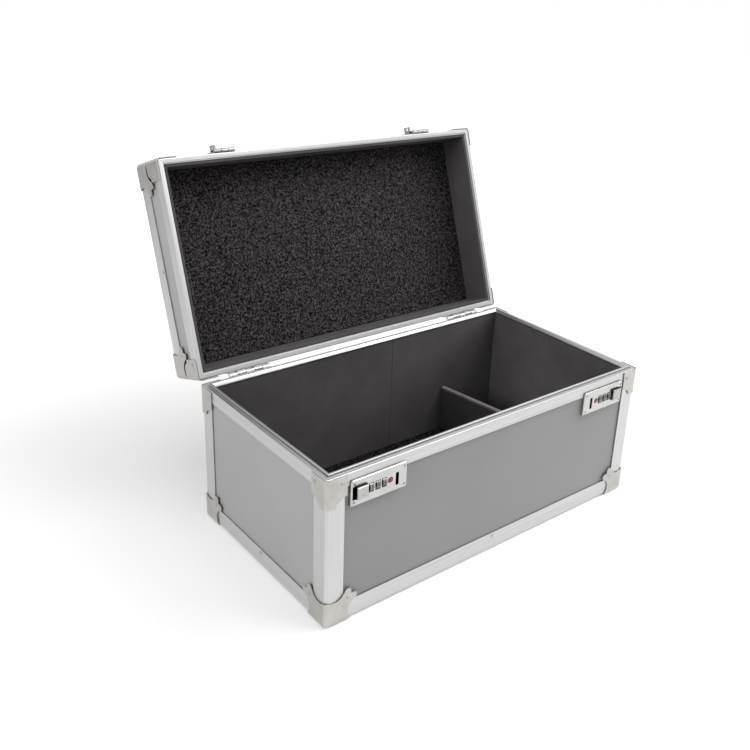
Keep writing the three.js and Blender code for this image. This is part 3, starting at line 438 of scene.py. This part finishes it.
def sponge_material(name, dark, light):
    material, tree, shader = blank_material(name, Roughness=0.9, Specular_IOR_Level=0.02)
    place = object_place(tree)
    cells = noise(tree, place, scale=460, detail=3, roughness=0.65)
    colour = shades(tree, cells, dark, light, source=(0.42, 0.66))
    tree.links.new(colour, shader.inputs["Base Color"])
    tree.links.new(relief(tree, cells, cell_depth), shader.inputs["Normal"])
    return material


def moulded_material(name, dark, light, rough, grain_depth):
    material, tree, shader = blank_material(name)
    place = object_place(tree)
    skin = noise(tree, place, scale=1500, detail=2)
    drift = 0.06
    tree.links.new(shades(tree, skin, dark, light), shader.inputs["Base Color"])
    tree.links.new(spread(tree, skin, rough - drift, rough + drift), shader.inputs["Roughness"])
    tree.links.new(relief(tree, skin, grain_depth), shader.inputs["Normal"])
    return material


seam_x = 33 * millimetre
seam_reach = 0.9 * millimetre
seam_tone = 0.45
divider_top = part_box("divider")[1].z
# A painted highlight along the top of the divider, where light from above falls on it.
highlight_reach = 4.5 * millimetre
highlight_tone = 6
seam = ("X", seam_x, seam_reach, seam_tone)
painted_top_highlight = ("Z", divider_top, highlight_reach, highlight_tone)
felt = felt_material("lining_felt", rosy(0.067), rosy(0.09), sheen=0.08, line=seam)
lid_felt = felt_material("lid_felt", rosy(0.07), rosy(0.09), sheen=0.01)
# The divider's felt is a darker copy of the lining felt: painted shade, with the painted highlight on top.
divider_felt_painted_light = felt_material("divider_felt_painted_light", rosy(0.028), rosy(0.04), sheen=0.03, line=painted_top_highlight)
lid_sponge_finish = sponge_material("lid_sponge", rosy(0.003), rosy(0.09))
floor_sponge_finish = sponge_material("floor_sponge", rosy(0.002), rosy(0.034))

deep_red = (0.24, 0.006, 0.022, 1)
bright_red = (0.34, 0.01, 0.034, 1)
smooth_skin = 0.002 * millimetre
grip_grain = 0.03 * millimetre
bead_red = moulded_material("red_bead", deep_red, bright_red, rough=0.2, grain_depth=smooth_skin)
grip_black = moulded_material(
    "grip_plastic", grey(0.011), grey(0.017), rough=0.5, grain_depth=grip_grain
)
figure_ink = moulded_material(
    "figure_ink", grey(0.01), grey(0.02), rough=0.5, grain_depth=smooth_skin
)
print("materials", felt.name, lid_felt.name, divider_felt_painted_light.name, bead_red.name)

# %% [markdown]
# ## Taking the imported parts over
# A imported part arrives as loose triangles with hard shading. A copy is merged, flat triangles are
# joined in pairs, its edges are rounded a little with the Bevel modifier, and its shading is weighted
# to the large faces. Thin bright lines along the edges are what makes sheet metal look real.

# %% Copies with fine edges
same_place = 0.001 * millimetre
flat_within = math.radians(0.6)
any_shape = math.radians(180)
sharp_over = math.radians(38)


def merged_copy(node):
    """The part's surface with shared corners, and with flat pairs of triangles joined."""
    shape = bmesh.new()
    shape.from_mesh(frame["nodes"][node].data)
    bmesh.ops.remove_doubles(shape, verts=shape.verts, dist=same_place)
    bmesh.ops.join_triangles(
        shape,
        faces=shape.faces,
        angle_face_threshold=flat_within,
        angle_shape_threshold=any_shape,
    )
    return shape


def mesh_from(shape, name):
    mesh = bpy.data.meshes.new(name)
    shape.to_mesh(mesh)
    shape.free()
    return mesh


def new_object(name, data):
    """An object at the origin of the scene, for a mesh, a lamp or a camera."""
    made = bpy.data.objects.new(name, data)
    bpy.context.scene.collection.objects.link(made)
    return made


def show(mesh, material, body, replaced=()):
    """Puts a finished mesh in the scene, on its body and with its material."""
    piece = new_object(mesh.name, mesh)
    mesh.materials.clear()
    mesh.materials.append(material)
    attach(piece, body)
    if replaced:
        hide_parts(*replaced)
    return piece


def apply_modifiers(piece):
    """Turns what the modifiers show into the piece's own mesh."""
    bpy.context.view_layer.update()
    graph = bpy.context.evaluated_depsgraph_get()
    result = bpy.data.meshes.new_from_object(
        piece.evaluated_get(graph), preserve_all_data_layers=True, depsgraph=graph
    )
    result.name = piece.name
    piece.modifiers.clear()
    piece.data = result


def round_edges(piece, radius, steps):
    """Rounds every edge that is sharper than the limit, and weights the shading to large faces."""
    for face in piece.data.polygons:
        face.use_smooth = True
    bevel = piece.modifiers.new("edges", "BEVEL")
    bevel.width = radius
    bevel.segments = steps
    bevel.limit_method = "ANGLE"
    bevel.angle_limit = sharp_over
    bevel.use_clamp_overlap = False
    bevel.miter_outer = "MITER_ARC"
    weighted = piece.modifiers.new("shading", "WEIGHTED_NORMAL")
    weighted.keep_sharp = True
    apply_modifiers(piece)


body_of_node = {
    node: body
    for body, nodes in frame["record"]["behaviour"]["bodies"].items()
    for node in nodes
}
slot_of_node = {part["node"]: part["material_slot"] for part in frame["record"]["subparts"]}


def take_over(node, material, edge, shape=None, steps=2):
    """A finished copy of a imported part, which then stands for it."""
    mesh = mesh_from(shape or merged_copy(node), f"{node}_finished")
    piece = show(mesh, material, body_of_node[node], [node])
    round_edges(piece, edge, steps)


def nodes_in(slot):
    return [node for node, own in slot_of_node.items() if own == slot]


# %% [markdown]
# The boards, caps, plates and hardware only need that. The rails also need their grain map. For a ring
# that runs round the case, the grain turns with it: it follows X along the front and rear, and Y along
# the ends. The upright rails have it along Z.

# %% Boards, caps and hardware
board_edge = 0.4 * millimetre
sheet_edge = 0.18 * millimetre

for node in nodes_in("panel_grey"):
    take_over(node, laminate, board_edge)
for node in nodes_in("cap_steel"):
    take_over(node, nickel, sheet_edge)
own_finish = {"button": button_plate, "hasp": hasp_plate, "housing": lock_plate}
for node in nodes_in("hardware_chrome"):
    finish = next((own for word, own in own_finish.items() if word in node), chrome)
    take_over(node, finish, sheet_edge)
for node in nodes_in("wheel_metal"):
    take_over(node, wheel_plate, sheet_edge)
for node in nodes_in("indicator_red"):
    take_over(node, bead_red, sheet_edge)
print("boards, caps and hardware taken over")

# %% Rails with their grain
def lay_grain(shape, turn, upright):
    """A UV map in metres, with the length of the rail first and its width second."""
    layer = shape.loops.layers.uv.new("grain")
    for face in shape.faces:
        centre = turn @ face.calc_center_median()
        at_an_end = abs(centre.x) - rail_x > abs(centre.y) - rail_y
        for loop in face.loops:
            place = turn @ loop.vert.co
            if upright:
                along = place.z
                across = (rail_x - abs(place.x)) - (rail_y - abs(place.y))
            elif at_an_end:
                along = place.y
                across = place.z + abs(place.x)
            else:
                along = place.x
                across = place.z + abs(place.y)
            loop[layer].uv = (along, across)


for node in nodes_in("rail_aluminium"):
    shape = merged_copy(node)
    turn = closed_from_open if body_of_node[node] == "lid" else unturned
    lay_grain(shape, turn, upright="corner_rail" in node)
    take_over(node, aluminium, sheet_edge, shape)
print("rails taken over:", len(nodes_in("rail_aluminium")))

# %% Lining boards and the divider
lining_edge = 0.5 * millimetre
divider_edge = 1.4 * millimetre
take_over("base_wall_lining", felt, lining_edge)
take_over("lid_wall_lining", lid_felt, lining_edge)
take_over("divider", divider_felt_painted_light, divider_edge, steps=4)
print("lining and divider taken over")

# %% [markdown]
# ## Sponge sheets
# A flat box can't show a sponge, so its open face is cut into small squares, and Geometry Nodes sink
# the corners of those squares into pores. A Voronoi texture has one cell for each pore, deep in the
# middle and high at the walls between cells, and noise breaks up the pattern. The sides and the back
# stay flat, because nobody sees them. Every tree here starts with named inputs and ends the same way:
# copies are made real and get their material, so two helpers do that for all of them.

# %% Start, end and use of a Geometry Nodes tree
def new_tree(name, inputs):
    """An empty tree with inputs of the given names and kinds, and the sockets that they fill."""
    tree = bpy.data.node_groups.new(name, "GeometryNodeTree")
    for input_name, kind in inputs.items():
        tree.interface.new_socket(input_name, in_out="INPUT", socket_type=f"NodeSocket{kind}")
    tree.interface.new_socket("Geometry", in_out="OUTPUT", socket_type="NodeSocketGeometry")
    return tree, add_node(tree, "NodeGroupInput").outputs


def end_tree(tree, geometry, material):
    """The last steps: copies become real geometry, which gets its material."""
    whole = add_node(tree, "GeometryNodeRealizeInstances", {"Geometry": geometry})
    painted = add_node(
        tree,
        "GeometryNodeSetMaterial",
        {"Geometry": whole.outputs["Geometry"], "Material": material},
    )
    add_node(tree, "NodeGroupOutput", {"Geometry": painted.outputs["Geometry"]})


def set_tree(piece, tree, values):
    """Adds a Geometry Nodes modifier, fills its named inputs and applies it."""
    modifier = piece.modifiers.new(tree.name, "NODES")
    modifier.node_group = tree
    names = {
        item.name: item.identifier
        for item in tree.interface.items_tree
        if item.item_type == "SOCKET" and item.in_out == "INPUT"
    }
    for name, value in values.items():
        modifier[names[name]] = value
    apply_modifiers(piece)


# %% Pores by Geometry Nodes
pore_bottom = 0.15
pore_brim = 0.6
rags_in_metre = 300
swells_in_metre = 14


def sponge_tree():
    """A pore is deepest near its middle and ends at its brim; both are parts of the pore size."""
    inputs = {
        "Geometry": "Geometry",
        "Pore size": "Float",
        "Pore depth": "Float",
        "Swell": "Float",
        "Into the sheet": "Vector",
        "Material": "Material",
    }
    tree, given = new_tree("Sponge pores", inputs)
    place = add_node(tree, "GeometryNodeInputPosition").outputs["Position"]
    density = maths(tree, "DIVIDE", 1.0, given["Pore size"])
    cells = add_node(
        tree, "ShaderNodeTexVoronoi", {"Vector": place, "Scale": density, "Randomness": 1.0}
    )
    distance = cells.outputs["Distance"]
    bowl = spread(tree, distance, 1.0, 0.0, source=(pore_bottom, pore_brim), ease="SMOOTHSTEP")
    ragged = noise(tree, place, scale=rags_in_metre, detail=3)
    swell = noise(tree, place, scale=swells_in_metre, detail=1)
    sunk = maths(tree, "MULTIPLY", maths(tree, "MULTIPLY", bowl, ragged), given["Pore depth"])
    lower = maths(tree, "MULTIPLY", swell, given["Swell"])
    depth = maths(tree, "ADD", sunk, lower)
    offset = add_node(
        tree,
        "ShaderNodeVectorMath",
        {0: given["Into the sheet"], "Scale": depth},
        operation="SCALE",
    )
    skin = add_node(tree, "GeometryNodeInputNamedAttribute", {"Name": "skin"}, data_type="BOOLEAN")
    moved = add_node(
        tree,
        "GeometryNodeSetPosition",
        {
            "Geometry": given["Geometry"],
            "Selection": skin.outputs["Attribute"],
            "Offset": offset.outputs["Vector"],
        },
    )
    end_tree(tree, moved.outputs["Geometry"], given["Material"])
    return tree


pores = sponge_tree()
print("tree", pores.name)

# %% A closed sheet whose open face is finely divided
def sponge_sheet(low, high, open_face_up, square):
    """A box in plain axes; the vertices of its divided face carry the mark skin."""
    shape = bmesh.new()
    skin = shape.verts.layers.bool.new("skin")
    columns = round((high.x - low.x) / square)
    rows = round((high.y - low.y) / square)
    face_z, back_z = (high.z, low.z) if open_face_up else (low.z, high.z)
    grid = []
    for row in range(rows + 1):
        y = low.y + (high.y - low.y) * row / rows
        line = [
            shape.verts.new((low.x + (high.x - low.x) * column / columns, y, face_z))
            for column in range(columns + 1)
        ]
        grid.append(line)
    for row in range(1, rows):
        for column in range(1, columns):
            grid[row][column][skin] = True
    for row in range(rows):
        for column in range(columns):
            near_pair = grid[row][column:column + 2]
            far_pair = grid[row + 1][column:column + 2]
            shape.faces.new(near_pair + far_pair[::-1])
    rims = [
        grid[0],
        [line[-1] for line in grid],
        grid[-1][::-1],
        [line[0] for line in grid][::-1],
    ]
    backs = [shape.verts.new((rim[0].co.x, rim[0].co.y, back_z)) for rim in rims]
    for side, rim in enumerate(rims):
        near = backs[side]
        far = backs[(side + 1) % len(backs)]
        for first, second in zip(rim, rim[1:]):
            shape.faces.new((second, first, near))
        shape.faces.new((rim[-1], near, far))
    shape.faces.new(backs[::-1])
    bmesh.ops.recalc_face_normals(shape, faces=shape.faces)
    return shape


# %% Sponges of the floor and the lid
sponge_square = 1.5 * millimetre
pore_size = 3.2 * millimetre
pore_depth = 2.2 * millimetre
swell_depth = 0.4 * millimetre


def sponge_piece(node, material, low, high, open_face_up, turn):
    shape = sponge_sheet(low, high, open_face_up, sponge_square)
    shape.transform(turn)
    inward = turn.to_3x3() @ Vector((0, 0, -1 if open_face_up else 1))
    piece = show(
        mesh_from(shape, f"{node}_finished"), material, body_of_node[node], [node]
    )
    for face in piece.data.polygons:
        face.use_smooth = True
    set_tree(
        piece,
        pores,
        {
            "Pore size": pore_size,
            "Pore depth": pore_depth,
            "Swell": swell_depth,
            "Into the sheet": inward,
            "Material": material,
        },
    )
    return piece


floor_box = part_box("base_floor_sponge")
floor_sponge = sponge_piece("base_floor_sponge", floor_sponge_finish, *floor_box, True, unturned)
lid_box = closed_box("lid_sponge")
lid_sponge = sponge_piece("lid_sponge", lid_sponge_finish, *lid_box, False, open_from_closed)
print("sponge faces:", len(floor_sponge.data.polygons), len(lid_sponge.data.polygons))

# %% [markdown]
# ## Rivet heads
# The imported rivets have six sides, which keeps the model light. Here each gets a round head that covers
# it. The heads repeat, so Geometry Nodes place them: one point for each rivet, with the way it faces
# stored beside it, and one small dome that is set on every point.

# %% Domes on points by Geometry Nodes
dome_segments = 20
dome_rings = 12


def dome_tree():
    inputs = {"Geometry": "Geometry", "Radius": "Float", "Rise": "Float", "Material": "Material"}
    tree, given = new_tree("Domed heads", inputs)
    ball = add_node(
        tree,
        "GeometryNodeMeshUVSphere",
        {"Segments": dome_segments, "Rings": dome_rings, "Radius": 1.0},
    )
    smooth = add_node(tree, "GeometryNodeSetShadeSmooth", {"Geometry": ball.outputs["Mesh"]})
    size = add_node(
        tree, "ShaderNodeCombineXYZ", {"X": given["Radius"], "Y": given["Radius"], "Z": given["Rise"]}
    )
    dome = add_node(
        tree,
        "GeometryNodeTransform",
        {"Geometry": smooth.outputs["Geometry"], "Scale": size.outputs["Vector"]},
    )
    facing = add_node(
        tree, "GeometryNodeInputNamedAttribute", {"Name": "facing"}, data_type="FLOAT_VECTOR"
    )
    turned = add_node(
        tree, "FunctionNodeAlignRotationToVector", {"Vector": facing.outputs["Attribute"]}, axis="Z"
    )
    points = add_node(tree, "GeometryNodeMeshToPoints", {"Mesh": given["Geometry"]})
    placed = add_node(
        tree,
        "GeometryNodeInstanceOnPoints",
        {
            "Points": points.outputs["Points"],
            "Instance": dome.outputs["Geometry"],
            "Rotation": turned.outputs["Rotation"],
        },
    )
    end_tree(tree, placed.outputs["Instances"], given["Material"])
    return tree


domes = dome_tree()
print("tree", domes.name)


def domed_heads(name, places, radius, rise, material, body):
    """One mesh with a dome at each place; a place is a point and the way it faces."""
    shape = bmesh.new()
    facing_layer = shape.verts.layers.float_vector.new("facing")
    for point, facing in places:
        vertex = shape.verts.new(point)
        vertex[facing_layer] = facing
    piece = show(mesh_from(shape, name), material, body)
    set_tree(piece, domes, {"Radius": radius, "Rise": rise, "Material": material})


# %% [markdown]
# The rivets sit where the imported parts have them: in the middle of each ear of a corner cap, in both
# legs of a rim plate, and half way along each frame rail. Places are worked out from the corner that
# a rivet belongs to, so one function serves all eight corners of the case. The case stands on the ears
# of its bottom caps, so those get no heads underneath.

# %% Places of the rivets
corner_signs = [(-1, -1), (1, -1), (-1, 1), (1, 1)]
cap_proud = 1.5 * millimetre
ear_place = 24.8 * millimetre
plate_across = 16.5 * millimetre
plate_down = 8 * millimetre
mid_rail_rise = 16 * millimetre

rail_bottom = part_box("base_bottom_frame")[0].z
rim_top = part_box("base_rim_plate_front_left")[1].z
lid_rim = closed_box("lid_rim_plate_front_left")[0].z
rail_top = closed_box("lid_top_frame")[1].z


def at_corner(signs, level, up, inward):
    """A point given by its distances inwards from the three planes of a corner."""
    return Vector((
        signs[0] * (rail_x - inward[0]),
        signs[1] * (rail_y - inward[1]),
        level + up * inward[2],
    ))


def ear_rivets(level, up, with_flat_face):
    places = []
    for signs in corner_signs:
        outward = [Vector((signs[0], 0, 0)), Vector((0, signs[1], 0)), Vector((0, 0, -up))]
        for axis in range(3 if with_flat_face else 2):
            inward = [ear_place] * 3
            inward[axis] = -cap_proud
            places.append((at_corner(signs, level, up, inward), outward[axis]))
    return places


def plate_rivets(level, up):
    places = []
    for signs in corner_signs:
        on_end = at_corner(signs, level, up, (-cap_proud, plate_across, plate_down))
        on_long = at_corner(signs, level, up, (plate_across, -cap_proud, plate_down))
        places.append((on_end, Vector((signs[0], 0, 0))))
        places.append((on_long, Vector((0, signs[1], 0))))
    return places


def rail_rivets(level, up):
    height = level + up * mid_rail_rise
    places = []
    for sign in (-1, 1):
        places.append((Vector((sign * rail_x, 0, height)), Vector((sign, 0, 0))))
        places.append((Vector((0, sign * rail_y, height)), Vector((0, sign, 0))))
    return places


def opened(places):
    """The same places on the open lid."""
    turn = open_from_closed.to_3x3()
    return [(open_from_closed @ point, turn @ facing) for point, facing in places]


# %% Rivet heads of the base and the lid
rivet_radius = 2 * millimetre
rivet_rise = 0.9 * millimetre
base_cap_places = ear_rivets(rail_bottom, 1, False) + plate_rivets(rim_top, -1)
lid_cap_places = opened(ear_rivets(rail_top, -1, True) + plate_rivets(lid_rim, 1))
base_rail_places = rail_rivets(rail_bottom, 1)
lid_rail_places = opened(rail_rivets(rail_top, -1))
rivet_groups = [
    ("base_cap_rivets", base_cap_places, "base", "cap_steel"),
    ("lid_cap_rivets", lid_cap_places, "lid", "cap_steel"),
    ("base_rail_rivets", base_rail_places, "base", "rail_aluminium"),
    ("lid_rail_rivets", lid_rail_places, "lid", "rail_aluminium"),
]
for name, places, body, slot in rivet_groups:
    domed_heads(name, places, rivet_radius, rivet_rise, rivet_steel, body)
    print(name, len(places))

# %% [markdown]
# ## Figures and screws of the locks
# Each code wheel has ten raised flats, and a plain figure from 0 to 9 stands on each. A figure is a
# text turned into a mesh; it is laid over the flat by bending it round the wheel's axle, a hair's
# breadth off the metal. Each lock plate is held by four small screws with a cross, and the bead of
# the lock gets a round top, which stands a little out of its seat.

# %% Figures bent round the wheels
figures_on_wheel = 10
figure_step = math.radians(360 / figures_on_wheel)
figure_height = 2.6 * millimetre
figure_rise = 0.05 * millimetre
flat_half = math.radians(6)
valley_middle = figure_step / 2
wheel_low, wheel_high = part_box("number_wheel_left_1")
wheel_radius = (wheel_high.y - wheel_low.y) / 2
valley_depth = 0.5 * millimetre


def figure_outline(figure):
    """A figure as a flat mesh round its own middle, cut where the flat of the wheel ends."""
    curve = bpy.data.curves.new("figure", "FONT")
    curve.body = str(figure)
    holder = bpy.data.objects.new("figure", curve)
    mesh = bpy.data.meshes.new_from_object(holder)
    shape = bmesh.new()
    shape.from_mesh(mesh)
    bpy.data.objects.remove(holder)
    bpy.data.meshes.remove(mesh)
    bmesh.ops.triangulate(shape, faces=shape.faces)
    xs = [vertex.co.x for vertex in shape.verts]
    ys = [vertex.co.y for vertex in shape.verts]
    scale = figure_height / (max(ys) - min(ys))
    middle = Vector(((max(xs) + min(xs)) / 2, (max(ys) + min(ys)) / 2, 0))
    for vertex in shape.verts:
        vertex.co = (vertex.co - middle) * scale
    crease = flat_half * wheel_radius
    for level in (-crease, crease):
        everything = shape.verts[:] + shape.edges[:] + shape.faces[:]
        bmesh.ops.bisect_plane(shape, geom=everything, plane_co=(0, level, 0), plane_no=(0, 1, 0))
    return shape


def wheel_figures(node):
    """All the figures of a wheel, wrapped round its axle."""
    low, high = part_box(node)
    axle = (low + high) / 2
    whole = bmesh.new()
    for figure in range(figures_on_wheel):
        shape = figure_outline(figure)
        turned = figure * figure_step
        for vertex in shape.verts:
            angle = vertex.co.y / wheel_radius
            fall = max(0, abs(angle) - flat_half) / (valley_middle - flat_half)
            radius = wheel_radius + figure_rise - valley_depth * fall
            vertex.co = (
                axle.x + vertex.co.x,
                axle.y - radius * math.cos(angle + turned),
                axle.z + radius * math.sin(angle + turned),
            )
        mesh = mesh_from(shape, "one_figure")
        whole.from_mesh(mesh)
        bpy.data.meshes.remove(mesh)
    name = node.replace("number_wheel", "figures")
    show(mesh_from(whole, name), figure_ink, body_of_node[node])


for node in nodes_in("wheel_metal"):
    wheel_figures(node)
print("wheels with figures:", len(nodes_in("wheel_metal")))

# %% Screws of the lock plates
screw_radius = 1.5 * millimetre
screw_rise = 0.25 * millimetre
screw_from_end = 3.5 * millimetre
screw_from_edge = 4 * millimetre
forwards = Vector((0, -1, 0))


def screw_places(side):
    """The four corners of a lock plate, each with the way that it faces."""
    low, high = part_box(f"lock_housing_{side}")
    inset = Vector((screw_from_end, 0, screw_from_edge))
    low = low + inset
    high = high - inset
    return [(Vector((x, low.y, z)), forwards) for x in (low.x, high.x) for z in (low.z, high.z)]


lock_screws = screw_places("left") + screw_places("right")
domed_heads(
    "lock_screws", lock_screws, screw_radius, screw_rise, rivet_steel, "base"
)
print("lock screws:", len(lock_screws))

# %% Round tops of the red beads
bead_radius = 2.6 * millimetre
bead_rise = 0.4 * millimetre
for side in ("left", "right"):
    low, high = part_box(f"lock_indicator_{side}")
    bead_place = Vector(((low.x + high.x) / 2, low.y, (low.z + high.z) / 2))
    domed_heads(
        f"bead_{side}",
        [(bead_place, forwards)],
        bead_radius,
        bead_rise,
        bead_red,
        "base",
    )
print("bead tops in place")

# %% Crosses on the screws
cross_half = 0.9 * millimetre
cross_width = 0.28 * millimetre
cross_rise = 0.03 * millimetre
square_corners = [(-1, -1), (1, -1), (1, 1), (-1, 1)]


def screw_cross(shape, point, facing):
    """Two thin bars on a screw head, turned as the screw happens to stand."""
    turn = Matrix.Rotation(point.x / screw_radius, 3, "Y")
    off_head = point + facing * (screw_rise + cross_rise)
    sideways = Vector((1, 0, 0))
    upwards = Vector((0, 0, 1))
    for long, short in ((sideways, upwards), (upwards, -sideways)):
        corners = [
            turn @ (long * cross_half * along + short * cross_width / 2 * across)
            for along, across in square_corners
        ]
        shape.faces.new([shape.verts.new(off_head + corner) for corner in corners])


crosses = bmesh.new()
for point, facing in lock_screws:
    screw_cross(crosses, point, facing)
show(mesh_from(crosses, "screw_crosses"), figure_ink, "base")
print("screw crosses in place")

# %% [markdown]
# ## Handle
# The grip hangs on the top of the lid, out of the camera's sight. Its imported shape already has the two
# bends and the swell of such a grip, so it only needs a softer edge and its grained plastic.

# %% Grip
grip_edge = 0.6 * millimetre
take_over("handle_grip", grip_black, grip_edge, steps=3)
print("grip taken over")

# %% [markdown]
# ## Floor, light and camera
# The case stands on a white floor that runs out into a white surrounding. The floor keeps a soft
# shadow near the case. A light path says what looks at the floor or the world: the camera, or a
# reflection in metal. Both see white there, and the light on the case stays as the lamps give it.

# %% Floor
near_lift = 0.25
far_lift = 1.0
fade_start = 0.4
fade_end = 1.3
metal_lift = 0.3
white = (1, 1, 1, 1)


def seen_in_metal_or_glass(tree, path):
    return maths(tree, "MAXIMUM", path["Is Glossy Ray"], path["Is Transmission Ray"])


def floor_material():
    """White for the camera, more so far away; metal sees an even lift, so that it shows plain white."""
    material, tree, shader = blank_material("white_floor", Roughness=0.9, Specular_IOR_Level=0.1)
    place = object_place(tree)
    paint = shades(tree, noise(tree, place, scale=3, detail=2), grey(0.74), grey(0.76))
    tree.links.new(paint, shader.inputs["Base Color"])
    path = add_node(tree, "ShaderNodeLightPath").outputs
    distance = add_node(tree, "ShaderNodeVectorMath", {0: place}, operation="LENGTH").outputs["Value"]
    fade = spread(
        tree, distance, near_lift, far_lift, source=(fade_start, fade_end), ease="SMOOTHSTEP"
    )
    to_camera = maths(tree, "MULTIPLY", path["Is Camera Ray"], fade)
    in_metal = maths(tree, "MULTIPLY", seen_in_metal_or_glass(tree, path), metal_lift)
    lift = maths(tree, "MAXIMUM", to_camera, in_metal)
    shader.inputs["Emission Color"].default_value = white
    tree.links.new(lift, shader.inputs["Emission Strength"])
    return material


floor_half = 6.0
floor_level = packed_box[0].z
floor_shape = bmesh.new()
floor_places = [(x * floor_half, y * floor_half, floor_level) for x, y in square_corners]
floor_shape.faces.new([floor_shape.verts.new(place) for place in floor_places])
floor_mesh = mesh_from(floor_shape, "white_floor")
floor_mesh.materials.append(floor_material())
floor = new_object("white_floor", floor_mesh)
floor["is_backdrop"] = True
print("floor at", round(floor_level, 5))

# %% Surrounding light
world = bpy.data.worlds.new("studio")
world.use_nodes = True
bpy.context.scene.world = world
sky = world.node_tree
background = sky.nodes["Background"]
background.inputs["Color"].default_value = white
surround_strength = 0.14
path = add_node(sky, "ShaderNodeLightPath").outputs
seen = maths(sky, "MAXIMUM", path["Is Camera Ray"], seen_in_metal_or_glass(sky, path))
strength = spread(sky, seen, surround_strength, 1.0, source=(0.0, 1.0))
sky.links.new(strength, background.inputs["Strength"])
print("surrounding light:", surround_strength)

# %% [markdown]
# Four soft lamps stand round the case: two on the right light the front and the rear lining, one on the
# left lights the left wall, and one hangs overhead. So the corners inside go dark, as they do in the
# photograph. The two smaller side lamps don't show in the metal, where they would glare.

# %% Lamps
case_middle = Vector((0, 0, 0.15))


def soft_lamp(name, place, size, power, in_metal=True):
    """A rectangle of light that faces the case, with its size in metres and its power in watts."""
    data = bpy.data.lights.new(name, "AREA")
    data.shape = "RECTANGLE"
    data.size, data.size_y = size
    data.energy = power
    lamp = new_object(name, data)
    turn = (case_middle - Vector(place)).to_track_quat("-Z", "Y").to_matrix().to_4x4()
    lamp.matrix_world = Matrix.Translation(place) @ turn
    lamp.visible_glossy = in_metal


soft_lamp("right_front_lamp", place=(1.2, -1.1, 1.9), size=(1.3, 1.1), power=21)
soft_lamp("top_lamp", place=(-0.1, -0.35, 2.2), size=(1.4, 1.2), power=16)
soft_lamp("right_lamp", place=(1.9, -0.5, 1.1), size=(1.2, 0.8), power=40, in_metal=False)
soft_lamp("left_lamp", place=(-1.75, 0.0, 0.9), size=(1.2, 0.8), power=25, in_metal=False)
print("lamps in place")

# %% [markdown]
# The camera has the place, turn and lens of the photograph. They were found from the straight rails and
# the corners in it. The middle of the lens is not the middle of the picture, so the view is shifted.

# %% Camera
yaw = math.radians(40.44)
pitch = math.radians(21.63)
roll = math.radians(2.93)
camera_place = Vector((-0.5987, -0.679, 0.5791))
image_side = 750
focal_pixels = 908
centre_pixel = (418, 322)

ahead = Vector((
    math.sin(yaw) * math.cos(pitch),
    math.cos(yaw) * math.cos(pitch),
    -math.sin(pitch),
))
level_right = Vector((math.cos(yaw), -math.sin(yaw), 0))
level_up = level_right.cross(ahead)
right = math.cos(roll) * level_right + math.sin(roll) * level_up
up = math.cos(roll) * level_up - math.sin(roll) * level_right

camera_data = bpy.data.cameras.new("camera")
camera_data.lens = focal_pixels / image_side * camera_data.sensor_width
camera_data.shift_x = (image_side / 2 - centre_pixel[0]) / image_side
camera_data.shift_y = (centre_pixel[1] - image_side / 2) / image_side
camera = new_object("camera", camera_data)
camera_turn = Matrix((right, up, -ahead)).transposed().to_4x4()
camera.matrix_world = Matrix.Translation(camera_place) @ camera_turn
bpy.context.scene.camera = camera
bpy.context.scene.view_settings.view_transform = "Standard"
print("lens", round(camera_data.lens, 2), "mm")

# %% [markdown]
# ## Sizes
# The growth of the dressed case past each side of the box of the imported one is printed. The
# dressed case has to stay inside the box of the imported one.

# %% Growth past the imported box
dressed_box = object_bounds()
growth = [
    round((dressed - packed) / millimetre, 3)
    for packed_corner, dressed_corner in zip(packed_box, dressed_box)
    for packed, dressed in zip(packed_corner, dressed_corner)
]
print("growth of each side in mm:", growth)
